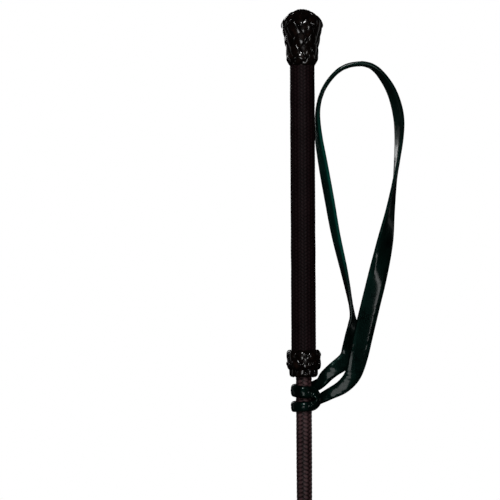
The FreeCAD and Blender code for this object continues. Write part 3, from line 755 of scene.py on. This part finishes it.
def lining(name, plait, finish):
    """The thin leather under a plait, which shows between its laces, painted dark as the shade between them.
    """
    # The lining's edge value paints it dark as shade between the laces.
    columns, depth, wall, painted_shade_between_laces = 72, 1.15, 0.2, 0.9
    rise = np.linspace(0.0, plait.length, 60)
    turn = np.arange(columns) / columns
    rows = []
    for level, rises in ((depth, rise), (depth + wall, rise[::-1])):
        for at in rises:
            rows.append(plait.spot(np.full(columns, at), turn, np.full(columns, level))[0])
    return piece(name, rows, grid_faces(len(rows), columns, close_rows=True), finish, "plait_leather",
                 edge=np.full(len(rows) * columns, painted_shade_between_laces))


def make_knob(finish):
    """The plaited knob: eight laces that turn back at the foot and meet under a button on top."""
    heights, radii = turned_profile("knob_plait", 0.25, 7)
    button_radius = 3.3
    keep = ~((radii < button_radius * 0.75) & (heights > heights.mean()))
    plait = Plait(heights[keep], radii[keep], 8, 57.0)
    turn_back, step = 4.4, 0.4
    reach = math.sqrt((plait.length + turn_back) ** 2 - turn_back ** 2)
    along = np.arange(-reach, reach + step, step)
    along = np.clip(along, -reach, reach)
    rise = np.clip(np.sqrt(along ** 2 + turn_back ** 2) - turn_back, 0.0, plait.length)
    rate = 1.0 / math.tan(plait.steepness) / (TURN * plait.radius(rise))
    turns = np.concatenate([[0.0], np.cumsum((rate[1:] + rate[:-1]) / 2.0 * np.diff(along))])
    turns -= np.interp(0.0, along, turns)
    crossings = 2.0 * plait.strands * np.abs(turns)
    lift = np.sign(turns) * crossing_lift(crossings)
    narrow = narrowed(above(np.abs(along), 0.0, 6.0))
    start = 0.31
    laces = [lace_points(plait, rise, turns + (k + start) / plait.strands, lift, narrow)
             for k in range(plait.strands)]
    made = join_laces("knob_laces", laces, None, finish, "plait_leather")
    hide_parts("knob_plait")
    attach(made, "handle")
    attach(lining("knob_lining", plait, finish), "handle")
    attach(make_button(button_radius, finish), "handle")


def make_button(radius, finish):
    """The small domed leather button that hides the laces' ends on top of the knob."""
    top = highest("knob_plait")
    columns, rows = 48, 14
    fall, start, squareness = 1.5, 0.04, 0.8
    arc = np.linspace(start, math.pi - start, rows)
    points = turned_rows(radius * np.sin(arc) ** squareness, top - fall + fall * np.cos(arc), columns)
    return piece("knob_button", points, grid_faces(rows, columns), finish, "plait_leather",
                 end_caps(rows, columns), edge=np.zeros(rows * columns))


def make_collar(finish):
    """The plaited ring below the grip: one lace that zigzags round it."""
    heights, radii = turned_profile("collar_plait", 0.25, 5)
    shown = 0.88
    heights = heights.max() + (heights - heights.max()) * shown
    bights, leads = 9, 4
    plait = Plait(heights, radii, bights, 54.0)
    around = 2 * bights * 90
    phase = math.pi * 2 * bights * np.arange(around) / around
    sharp = 0.93
    wave = np.arcsin(sharp * np.sin(phase - math.pi / 2)) / math.asin(sharp)
    margin = 0.75
    rise = margin + (plait.length - 2 * margin) * (wave + 1.0) / 2.0
    turns = leads * np.arange(around) / around
    zig = np.mod(phase / math.pi, 2.0)
    climbing = zig < 1.0
    count = leads * np.where(climbing, zig, 2.0 - zig)
    ends = np.clip(np.minimum(count, leads - count), 0.0, 1.0)
    over = np.where(ends < 1.0, np.sin(ends * math.pi / 2.0), -np.cos(math.pi * count))
    lift = np.where(climbing, 1.0, -1.0) * over
    laces = [lace_points(plait, rise, turns, lift, narrowed(ends), closed=True)]
    made = join_laces("collar_laces", laces, 0, finish, "plait_leather")
    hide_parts("collar_plait")
    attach(made, "handle")
    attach(lining("collar_lining", plait, finish), "handle")


# ---------------------------------------------------------------- the wrist strap

STRAP_WIDTH, STRAP_THICKNESS, STRAP_STEP = 11.4, 2.5, 0.55
LOOP_MIDDLE = (33.0, 0.0, 10.0)
# Each station: x, y, z, turn of the face in degrees, share of the strap's width.
# From the front the strap is seen edge-on at 0 degrees and face-on at -90.
INNER_LEG = (
    (12.8, 0.9, -96.2, -90, 0.66), (17.4, 0.4, -92.3, -90, 0.72), (25.0, 1.2, -86.6, -85, 0.88),
    (27.4, 1.8, -80.5, -70, 1.0), (28.1, 1.8, -72.5, -46, 1.0), (28.0, 1.4, -66.0, -22, 1.0),
    (27.6, 1.0, -59.6, -6, 1.0), (23.7, 0.0, -38.5, 10, 1.0), (18.6, 0.0, -15.7, 17, 1.0),
    (15.1, 0.0, 4.3, 20, 1.0), (11.6, 0.0, 24.2, 19, 1.0), (9.0, 0.0, 41.3, 12, 1.0),
    (8.7, 0.0, 55.6, 2, 1.0), (11.8, 0.0, 67.0, 0, 1.0), (18.6, 0.0, 76.2, 0, 1.0),
    (25.6, 0.0, 80.5, 0, 1.0), (33.0, 0.0, 81.8, 0, 1.0),
)
OUTER_LEG = (
    (14.3, 0.8, -106.7, -90, 0.58), (22.2, -0.4, -102.3, -90, 0.72), (27.8, -1.2, -95.8, -86, 0.84),
    (31.0, -1.8, -86.0, -80, 0.95), (34.0, -1.8, -72.7, -78, 1.0), (38.2, -1.6, -55.6, -76, 1.0),
    (41.8, -1.0, -41.3, -74, 1.0), (46.4, 0.0, -21.4, -54, 1.0), (49.4, 0.0, -4.3, -26, 1.0),
    (51.6, 0.0, 10.0, -10, 1.0), (53.2, 0.0, 22.0, 2, 1.0), (55.0, 0.0, 40.0, 17, 1.0),
    (54.6, 0.0, 52.7, 23, 1.0), (51.0, 0.0, 65.4, 19, 1.0), (45.0, 0.0, 75.2, 11, 1.0),
    (39.4, 0.0, 80.2, 4, 1.0), (33.0, 0.0, 81.8, 0, 1.0),
)
# The strap round the shaft: angle in degrees, radius of its middle, height, share of width.
UPPER_TURN = (
    (18, 9.9, -100.6, 0.62), (45, 7.1, -102.9, 0.60), (90, 6.4, -103.9, 0.60), (135, 6.3, -104.2, 0.60),
    (180, 6.3, -104.3, 0.60), (225, 6.3, -104.6, 0.62), (270, 6.3, -105.2, 0.62),
)
LOWER_TURN = (
    (270, 6.3, -113.2, 0.50), (225, 6.3, -113.5, 0.52), (180, 6.3, -113.6, 0.52), (135, 6.3, -113.4, 0.52),
    (90, 6.4, -113.0, 0.52), (45, 7.1, -112.0, 0.52), (18, 9.9, -109.4, 0.54),
)
BIGHT = {"centre": -48.0, "reach": 19.0, "lift": 3.4, "share": 0.50}


def leg_rows(stations):
    """Place, width direction and width along one leg of the loop, from the hitch up."""
    rows = smooth_curve(stations, 0.8)
    path, turn, share = rows[:, :3], np.radians(rows[:, 3]), rows[:, 4]
    travel = directions(path)
    side = unit(np.stack([-travel[:, 2], np.zeros(len(path)), travel[:, 0]], -1))
    front = np.array([0.0, 1.0, 0.0])
    across = front * np.cos(turn)[:, None] + side * np.sin(turn)[:, None]
    return path, across, share


def ring_points(angles, radii, heights):
    """Places at those angles, distances from the axis and heights."""
    angle = np.radians(angles)
    return np.stack([radii * np.cos(angle), radii * np.sin(angle), heights], -1)


def square_to_shaft(path, share):
    """A path round the shaft, its width directions square to it, and its widths."""
    radial = unit(path * np.array([1.0, 1.0, 0.0]))
    return path, unit(np.cross(directions(path), radial)), share


def turn_rows(stations):
    """Place, width direction and width along one turn of the hitch."""
    stations = np.asarray(stations, float)
    count = 60
    at = np.linspace(0, len(stations) - 1, count)
    index = np.arange(len(stations))
    columns = [np.interp(at, index, stations[:, k]) for k in range(4)]
    return square_to_shaft(ring_points(*columns[:3]), columns[3])


def bight_rows(upper, lower):
    """The strap's turn-back over its own legs, from the upper turn to the lower one."""
    top, bottom = upper[2], lower[2]
    middle, half = (top + bottom) / 2.0, (top - bottom) / 2.0
    radius = upper[1]
    arc = np.linspace(0.0, math.pi, 40)
    straight = np.linspace(-90.0, BIGHT["centre"], 12, endpoint=False)[1:]
    bulge = np.sin(arc)
    angles = BIGHT["centre"] + BIGHT["reach"] * bulge
    radii = radius + BIGHT["lift"] * bulge ** 1.5
    heights = middle + half * np.cos(arc)
    share = np.interp(arc, [0.0, math.pi], [upper[3], lower[3]]) * (1.0 - bulge) + BIGHT["share"] * bulge
    angles = np.concatenate([straight, angles, straight[::-1]])
    radii, heights, share = (np.pad(values, len(straight), constant_values=ends) for values, ends in (
        (radii, (radius, radius)), (heights, (top, bottom)), (share, (upper[3], lower[3]))))
    return square_to_shaft(ring_points(angles, radii, heights), share)


def chain(parts):
    """The parts' rows end to end, with the width directions made to agree."""
    path, across, share = parts[0]
    for next_path, next_across, next_share in parts[1:]:
        if np.dot(across[-1], next_across[0]) < 0:
            next_across = -next_across
        path = np.vstack([path, next_path])
        across = np.vstack([across, next_across])
        share = np.concatenate([share, next_share])
    return path, across, share


def blur_closed(values, half):
    """A running average round a closed list of rows."""
    window = np.hanning(2 * half + 1)
    window /= window.sum()
    total = 0.0
    for k, weight in enumerate(window):
        total = total + weight * np.roll(values, k - half, axis=0)
    return total


def make_strap():
    """The wrist strap: one ribbon down the inner leg, round the hitch and up the outer leg."""
    inner = leg_rows(INNER_LEG)
    outer = leg_rows(OUTER_LEG)
    inner_down = tuple(rows[::-1] for rows in inner)
    path, across, share = chain([
        inner_down, turn_rows(UPPER_TURN), bight_rows(UPPER_TURN[-1], LOWER_TURN[0]),
        turn_rows(LOWER_TURN), tuple(rows[1:-1] for rows in outer)])
    table = evenly(np.hstack([path, across, share[:, None]]), STRAP_STEP)
    flipped = np.dot(table[-1, 3:6], table[0, 3:6]) < 0
    table = blur_strap(table, flipped)
    path, across, share = table[:, :3], table[:, 3:6], table[:, 6]
    travel = directions(path, closed=True)
    across = unit(across - travel * np.sum(across * travel, axis=1, keepdims=True))
    through = np.cross(travel, across)
    section, pressed = rounded_section(28, 4.2), rounded_section(28, 2.1)
    thickness = np.full(len(path), STRAP_THICKNESS)
    flat = swept(path, across, through, STRAP_WIDTH * share, thickness, section)
    swelling, hitch_side, hitch_top, fade = 1.16, 16.0, -90.0, 6.0
    plump = swept(path, across, through, STRAP_WIDTH * share, thickness * swelling, pressed)
    knotted = below(path[:, 0], hitch_side, fade) * below(path[:, 2], hitch_top, fade)
    rows = flat + (plump - flat) * knotted[:, None, None]
    rows = rows + strap_relief(rows, path, across, through, share, section)
    shift = len(section[0]) // 2 if flipped else 0
    quads = grid_faces(len(path), len(section[0]), close_rows=True, shift=shift)
    # The inside attribute carries the painted green sheen into the strap's colour.
    made = piece("wrist_strap", rows, quads, strap_leather(), "strap_leather",
                 inside=painted_sheen_share(path, across, through, section).ravel())
    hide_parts("strap_upper_turn", "strap_lower_turn", "strap_bight", "strap_inner_stub",
                "strap_outer_stub", "strap_inner_leg", "strap_outer_leg")
    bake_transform(made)
    return made


def painted_sheen_share(path, across, through, section):
    """How much painted green sheen each point gets.

    Most along the inner leg and on the side towards the middle of the loop, none near the hitch.
    """
    u, v = section
    inwards = unit(np.array(LOOP_MIDDLE) - path)
    face = np.sum(through * inwards, axis=1)[:, None] * v[None, :]
    rim = np.sum(across * inwards, axis=1)[:, None] * u[None, :]
    clear_of_hitch = above(path[:, 2], -70.0, 20.0)[:, None]
    inner_leg = (below(path[:, 0], 26.0, 6.0) * below(path[:, 2], 56.0, 16.0))[:, None]
    everywhere, on_leg, on_face, on_rim = 0.10, 0.85, 0.45, 0.55
    # green is the painted sheen: brightest on the inner leg and on faces and rims turned towards the loop's
    # middle.
    green = everywhere + on_leg * inner_leg + on_face * face + on_rim * rim
    return np.clip(green, 0.0, 1.0) * clear_of_hitch


def blur_strap(table, flipped):
    """Softens the strap's joints between parts, and its closing twist at the top of the loop."""
    half = 5
    sign = -1.0 if flipped else 1.0
    ahead = table.copy()
    padded = np.vstack([table[-half:], ahead, table[:half]])
    padded[:half, 3:6] *= sign
    padded[-half:, 3:6] *= sign
    window = np.hanning(2 * half + 3)[1:-1]
    window /= window.sum()
    return np.stack([np.convolve(column, window, mode="valid") for column in padded.T], axis=1)


def strap_relief(rows, path, across, through, share, section):
    """Wrinkles, a slight cup across the strap and pressed lines along both edges."""
    u, v = section
    along = (np.arange(len(path)) * STRAP_STEP)[:, None]
    bend = np.linalg.norm(np.gradient(directions(path, closed=True), axis=0), axis=1) / STRAP_STEP
    low = below(path[:, 2], -30.0, 40.0)
    wrinkle = 0.05 + 0.16 * np.clip(blur_closed(bend, 12) * 9.0, 0.0, 1.0) + 0.10 * low
    lengthwise = ripple(u[None, :] * 5.2 + 0.045 * along, (0.4, 2.7, 5.1), 1.0)
    crosswise = ripple(along + 2.2 * u[None, :], (1.1, 3.9, 0.2), 0.85)
    face = np.abs(v[None, :]) ** 0.6 * np.sign(v[None, :])
    cup = 0.30 * (1.0 - u[None, :] ** 2) * np.abs(v[None, :]) ** 0.5
    line = hump(np.abs(u[None, :]), 0.80, 0.05)
    amount = wrinkle[:, None] * (0.55 * lengthwise + 0.45 * crosswise) * (1.0 - np.abs(u[None, :]) ** 4)
    amount = amount + cup * 0.5 * np.ones_like(face) - 0.10 * line * face * share[:, None]
    return amount[:, :, None] * through[:, None, :]


# ---------------------------------------------------------------- the tip

def tube_rows(heights, outside, inside, columns, groove=None):
    """Section rows of a closed tube wall, with an optional groove that runs along it at one angle."""
    outer = np.repeat(outside[:, None], columns, axis=1)
    if groove:
        where, depth, breadth = groove
        away = np.abs((angles_round(columns) - math.radians(where) + math.pi) % TURN - math.pi)
        outer = outer - depth * hump(away[None, :] * outer, 0.0, breadth)
    return np.vstack([turned_rows(outer, heights, columns),
                      turned_rows(inside[::-1], heights[::-1], columns)])


def worn_ends(heights, top, top_reach, foot, foot_reach):
    """How far a band sinks towards its two cut ends."""
    return (top * np.exp(-(heights[-1] - heights) / top_reach)
            + foot * np.exp(-(heights - heights[0]) / foot_reach))


def make_sleeve():
    """The glossy leather sleeve over the tip, with its glued seam at the back."""
    low, high = lowest("tip_sleeve"), highest("tip_sleeve")
    heights = np.linspace(low, high, 220)
    body = outer_radius("tip_sleeve", (low + high) / 2.0)
    flare = 0.16 * hump(high - heights, 1.6, 1.3)
    drawn = 0.035 * ripple(heights, (0.2, 1.9, 3.3), 0.55)
    outside = body + flare - worn_ends(heights, 0.35, 0.35, 0.2, 0.3) + drawn
    columns, gap, wall = 56, 0.05, 0.2
    inside = np.minimum(smooth_taper("shaft_braid", heights) + gap, outside - wall)
    rows = tube_rows(heights, outside, inside, columns, groove=(82.0, 0.14, 0.28))
    made = piece("sleeve_leather_tube", rows, grid_faces(len(rows), columns, close_rows=True),
                 sleeve_leather(), "sleeve_leather")
    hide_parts("tip_sleeve")
    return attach(made, "shaft_tip")


def make_neck_wrap():
    """The leather band over the neck: three close turns whose edges show as shallow steps."""
    low, high = lowest("neck_wrap"), highest("neck_wrap")
    heights = np.linspace(low, high, 180)
    columns = 56
    body = outer_radius("neck_wrap", (low + high) / 2.0)
    outside = body - worn_ends(heights, 0.4, 0.4, 0.25, 0.4)
    wall = 0.5
    rows = tube_rows(heights, outside, np.full(len(heights), body - wall), columns)
    angle = np.arctan2(rows[..., 1], rows[..., 0])
    turn_width = 6.6
    phase = (rows[..., 2] - low) / turn_width + angle / TURN
    step = phase - np.floor(phase)
    edge_depth, edge_breadth, slope = 0.16, 0.06, 0.05
    sink = edge_depth * np.exp(-step / edge_breadth) + slope * step
    radial = rows * np.array([1.0, 1.0, 0.0])
    count = len(heights)
    rows[:count] -= unit(radial[:count]) * sink[:count, :, None]
    made = piece("neck_leather_wrap", rows, grid_faces(len(rows), columns, close_rows=True), neck_leather(),
                 "flap_leather")
    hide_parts("neck_wrap")
    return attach(made, "shaft_tip")


def flap_half_width(height):
    """Half the flap's width at a height, read from the CAD layer or tongue there."""
    bend = JOINT_HEIGHT["flap_bend"]
    node = "flap_layer_front" if height > bend else "flap_tongue"
    inset = 0.9
    level = min(max(height, lowest(node) + 0.05), highest(node) - 0.05)
    return reach_out(node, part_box(node)[0].y / MM + inset, level)


ARCH = {"half_width": 6.85, "corner": 5.4, "crown": -542.2, "count": 25, "pitch": 2.43}


def arch_line(distance):
    """Place and direction on the stitched arch at a distance from the middle of its crown."""
    half, corner, crown = ARCH["half_width"], ARCH["corner"], ARCH["crown"]
    side = 1.0 if distance >= 0 else -1.0
    along = abs(distance)
    flat = half - corner
    bend = corner * math.pi / 2.0
    if along <= flat:
        return side * along, crown, 1.0, 0.0
    if along <= flat + bend:
        angle = (along - flat) / corner
        return (side * (flat + corner * math.sin(angle)), crown + corner * (1.0 - math.cos(angle)),
                math.cos(angle), side * math.sin(angle))
    return side * half, crown + corner + along - flat - bend, 0.0, side


def arch_distance(x, z):
    """How far each point is from the stitched line."""
    reach = ARCH["pitch"] * (ARCH["count"] - 1) / 2.0 + 1.0
    samples = np.array([arch_line(d)[:2] for d in np.linspace(-reach, reach, 160)])
    best = np.full(x.shape, 99.0)
    for sx, sz in samples:
        best = np.minimum(best, np.hypot(x - sx, z - sz))
    return best


def flap_thickness(x, heights):
    """Half the flap's thickness: two layers, raised over the rod and sunk along the stitches."""
    body = np.full(x.shape, highest_y() - 0.05)
    fade_length = 16.0
    fade = above(heights, lowest("core_rod_tip") - fade_length, fade_length)
    fade = fade * fade * (3 - 2 * fade)
    ridge = 0.75 * fade * hump(x, 0.0, 2.6)
    from_arch = arch_distance(x, heights)
    seam = 0.34 * hump(from_arch, 0.0, 0.75)
    pillow = 0.12 * above(from_arch, 0.6, 2.5)
    from_fold = heights - lowest("flap_tongue")
    open_fold = 0.55 * hump(from_fold, 15.0, 9.0) * (1.0 - 0.5 * (x / 8.0) ** 2)
    pinch = 0.30 * hump(from_fold, 32.0, 8.0)
    waves = 0.07 * ripple(heights + 0.7 * x, (0.7, 2.9, 4.6), 0.32)
    pressed = 0.12
    return body + ridge - seam + pillow + open_fold - pinch + waves - pressed


def highest_y():
    """Half the thickness of the CAD flap at its bending line."""
    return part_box("flap_tongue")[1].y / MM


def make_flap():
    """The flap: one strip folded over at its end and sewn to itself round the rod."""
    top = highest("flap_layer_front")
    fold = lowest("flap_tongue")
    edge_round, across_count = 11, 56
    levels = np.linspace(fold, top, 236)
    bend = JOINT_HEIGHT["flap_bend"]
    slit_reach, corner_height, above_bend, below_bend = 3.5, 3.2, 8.0, 10.0
    solid = levels[np.abs(levels - bend) > slit_reach]
    halves = np.interp(levels, solid, [flap_half_width(z) for z in solid])
    halves = np.where(levels - fold < corner_height, halves, softened(halves, 4)) + fullness(levels, fold)
    rows = np.array([flap_row(z, half, fold, edge_round, across_count) for z, half in zip(levels, halves)])
    columns = rows.shape[1]
    made = piece("flap_leather_strip", rows, grid_faces(len(rows), columns), flap_leather(),
                 "flap_leather", end_caps(len(rows), columns))
    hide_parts("flap_layer_back", "flap_layer_front", "flap_tongue")
    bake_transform(made)
    return made


def fullness(levels, fold):
    """How far the leather spreads past its pattern: a little everywhere, more at the cheeks."""
    spread = 0.30 * above(levels, fold, 3.0) * below(levels, -506.0, 8.0)
    cheeks = 0.95 * hump(levels, -517.5, 5.0)
    return spread + cheeks + 0.35 * hump(levels, -536.0, 5.0)


def flap_row(z, half, fold, edge_round, across_count):
    """One closed loop round the flap at a height: front face, notched edge, back face, notched edge."""
    from_fold = z - fold
    bend_radius = 2.3
    roll = math.sqrt(max(0.0, 1.0 - (1.0 - min(from_fold / bend_radius, 1.0)) ** 2))
    narrow = 0.75
    flat = np.linspace(-1.0, 1.0, across_count)
    x_face = flat * max(half - narrow, 0.3)
    deep = flap_thickness(x_face, np.full_like(x_face, z)) * max(roll, 0.02)
    neck = max(0.0, 1.0 - (half - 2.9) / 4.0) if half < 6.9 else 0.0
    deep = np.maximum(deep, neck * np.sqrt(np.clip(2.75 ** 2 - x_face ** 2, 0.0, None)) * roll)
    edge_angle = np.linspace(0.0, math.pi, edge_round + 2)[1:-1]
    notch = 0.42 * min(1.0, max(0.0, (from_fold - 1.5) / 4.0)) * (1.0 - neck)
    rim = deep[-1]
    y_edge = rim * np.cos(edge_angle)
    x_edge = max(half - narrow, 0.3) + narrow * np.abs(np.sin(edge_angle)) ** 0.6
    x_edge = x_edge - notch * hump(y_edge, 0.0, 0.28)
    front = np.stack([x_face, -deep, np.full(across_count, z)], -1)
    right = np.stack([x_edge, -y_edge, np.full(edge_round, z)], -1)
    back = np.stack([x_face[::-1], deep[::-1], np.full(across_count, z)], -1)
    left = np.stack([-x_edge, y_edge, np.full(edge_round, z)], -1)
    return np.vstack([front, right, back, left])


def make_stitches():
    """Pale stitches round the arch, front and back, each dipping into its holes."""
    laces = []
    count, half_length, slant, crown, dip = 15, 0.95, 0.12, 0.18, 0.30
    section = rounded_section(10, 2.0)
    for face in (-1.0, 1.0):
        for k in range(ARCH["count"]):
            x, z, dx, dz = arch_line((k - (ARCH["count"] - 1) / 2.0) * ARCH["pitch"])
            t = np.linspace(-half_length, half_length, count)
            lean = slant * face
            px, pz = x + dx * t - dz * lean * t, z + dz * t + dx * lean * t
            arc = np.sqrt(np.clip(1.0 - (t / half_length) ** 2, 0.0, 1.0))
            py = face * (flap_thickness(px, pz) + crown * arc - dip * (1.0 - arc))
            path = np.stack([px, py, pz], -1)
            travel = directions(path)
            outwards = np.tile([0.0, face, 0.0], (count, 1))
            side = unit(np.cross(travel, outwards))
            through = np.cross(side, travel)
            girth = 0.22 + 0.36 * np.sqrt(arc)
            laces.append((swept(path, side, through, girth, girth, section), section))
    made = join_laces("flap_stitching", laces, None, stitch_thread(), "stitch_thread")
    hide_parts("flap_stitches")
    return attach(made, "shaft_tip")


# ---------------------------------------------------------------- pieces kept from the CAD

def finish_cad_nodes():
    """Gives the hidden CAD pieces their own materials."""
    wood, binding = former_wood(), binding_thread()
    kept = {
        "grip_former": wood, "knob_former": wood, "collar_former": binding,
        "grip_whipping_upper": binding, "grip_whipping_lower": binding, "tip_whipping": binding,
    }
    for node, material in kept.items():
        mesh = frame["nodes"][node].data
        mesh.materials.clear()
        mesh.materials.append(material)


# ---------------------------------------------------------------- floor, light and camera

def make_floor():
    """A plain pale floor under the flap, fading into the white surround."""
    columns, radii, gap = 96, np.array([0.02, 60.0, 200.0, 500.0, 900.0, 1300.0]), 0.5
    points = turned_rows(radii, np.full(len(radii), CAD_LOW.z / MM - gap), columns).reshape(-1, 3)
    mesh = bpy.data.meshes.new("floor")
    mesh.from_pydata((points * MM).tolist(), [], grid_faces(len(radii), columns).tolist())
    floor = bpy.data.objects.new("floor", mesh)
    bpy.context.scene.collection.objects.link(floor)
    finish = Finish("floor_paper", 0.9, Specular_IOR_Level=0.1)
    finish.colour(finish.noise(60.0, detail=4.0), (0.3, (0.82, 0.82, 0.82)), (0.7, (0.86, 0.86, 0.86)))
    distance = finish.node("ShaderNodeVectorMath", operation="LENGTH")
    finish.link(finish.place, distance.inputs[0])
    fade = finish.spread(distance.outputs["Value"], 0.7, 1.35, 1.0, 0.0)
    finish.link(fade, finish.shader.inputs["Alpha"])
    mesh.materials.append(finish.material)
    floor.visible_glossy = False
    floor.visible_diffuse = False
    return floor


def soft_box(name, place, aim, width, height, watts, only=None):
    """A rectangular soft light that the camera doesn't see, on everything or on one object only."""
    light = bpy.data.lights.new(name, "AREA")
    light.shape = "RECTANGLE"
    light.size, light.size_y = width, height
    light.energy = watts
    lamp = bpy.data.objects.new(name, light)
    lamp.location = place
    lamp.rotation_euler = (Vector(aim) - Vector(place)).to_track_quat("-Z", "Y").to_euler()
    lamp.visible_camera = False
    bpy.context.scene.collection.objects.link(lamp)
    if only is not None:
        lit = bpy.data.collections.new(name + "_lights")
        lit.objects.link(only)
        lamp.light_linking.receiver_collection = lit


def make_light(floor):
    """A white surround, a narrow key by the camera, and large soft boxes round the sides."""
    world = bpy.data.worlds.new("studio")
    world.use_nodes = True
    nodes, links = world.node_tree.nodes, world.node_tree.links
    nodes.clear()
    output = nodes.new("ShaderNodeOutputWorld")
    seen = nodes.new("ShaderNodeBackground")
    seen.inputs["Color"].default_value = (1.0, 1.0, 1.0, 1.0)
    seen.inputs["Strength"].default_value = 1.0
    lit = nodes.new("ShaderNodeBackground")
    lit.inputs["Color"].default_value = (0.96, 0.98, 1.0, 1.0)
    lit.inputs["Strength"].default_value = 0.006
    path = nodes.new("ShaderNodeLightPath")
    mix = nodes.new("ShaderNodeMixShader")
    links.new(path.outputs["Is Camera Ray"], mix.inputs["Fac"])
    links.new(lit.outputs[0], mix.inputs[1])
    links.new(seen.outputs[0], mix.inputs[2])
    links.new(mix.outputs[0], output.inputs["Surface"])
    bpy.context.scene.world = world
    soft_box("key", (-0.06, -1.05, 0.52), (0.01, 0.0, -0.02), 0.16, 0.26, 6.0)
    soft_box("right_front", (0.72, -0.95, -0.15), (0.03, 0.0, -0.05), 0.08, 0.20, 0.5)
    soft_box("left_side", (-1.2, 0.45, 0.1), (0.0, 0.0, -0.2), 0.25, 1.4, 0.5)
    soft_box("right_side", (1.2, 0.55, 0.1), (0.0, 0.0, -0.2), 0.25, 1.4, 0.6)
    soft_box("back", (-0.5, 1.3, 0.4), (0.0, 0.0, -0.2), 0.3, 0.6, 1.8)
    soft_box("tip_key", (-0.10, -1.0, -0.32), (0.0, 0.0, -0.5), 0.30, 0.3, 1.6)
    soft_box("floor_light", (-0.6, -0.7, 1.2), (0.0, 0.0, -0.6), 1.0, 1.0, 42.0, only=floor)


FRAME_SIDE, CAMERA_AWAY, SENSOR_WIDTH = 285.0, 1500.0, 36.0
PICTURE_CENTRE_X, PICTURE_CENTRE_Z = -30.3, -24.2
LEAN = math.radians(0.3)


def make_camera():
    """The camera square to the loop's plane, level with the grip, as the handle is seen."""
    data = bpy.data.cameras.new("camera")
    data.sensor_width = SENSOR_WIDTH
    data.lens = SENSOR_WIDTH * CAMERA_AWAY / FRAME_SIDE
    camera = bpy.data.objects.new("camera", data)
    camera.location = (PICTURE_CENTRE_X * MM, -CAMERA_AWAY * MM, PICTURE_CENTRE_Z * MM)
    camera.rotation_euler = (math.pi / 2.0, LEAN, 0.0)
    data.clip_end = 50.0
    bpy.context.scene.collection.objects.link(camera)
    bpy.context.scene.camera = camera
    bpy.context.scene.view_settings.view_transform = "Standard"


# ---------------------------------------------------------------- the crop


bpy.context.view_layer.update()
make_camera()
make_light(make_floor())
plait = plait_leather()
make_knob(plait)
make_collar(plait)
make_grip_braid()
make_shaft_braid()
make_core_rod(glass_fibre())
make_strap()
make_sleeve()
make_neck_wrap()
make_flap()
make_stitches()
finish_cad_nodes()
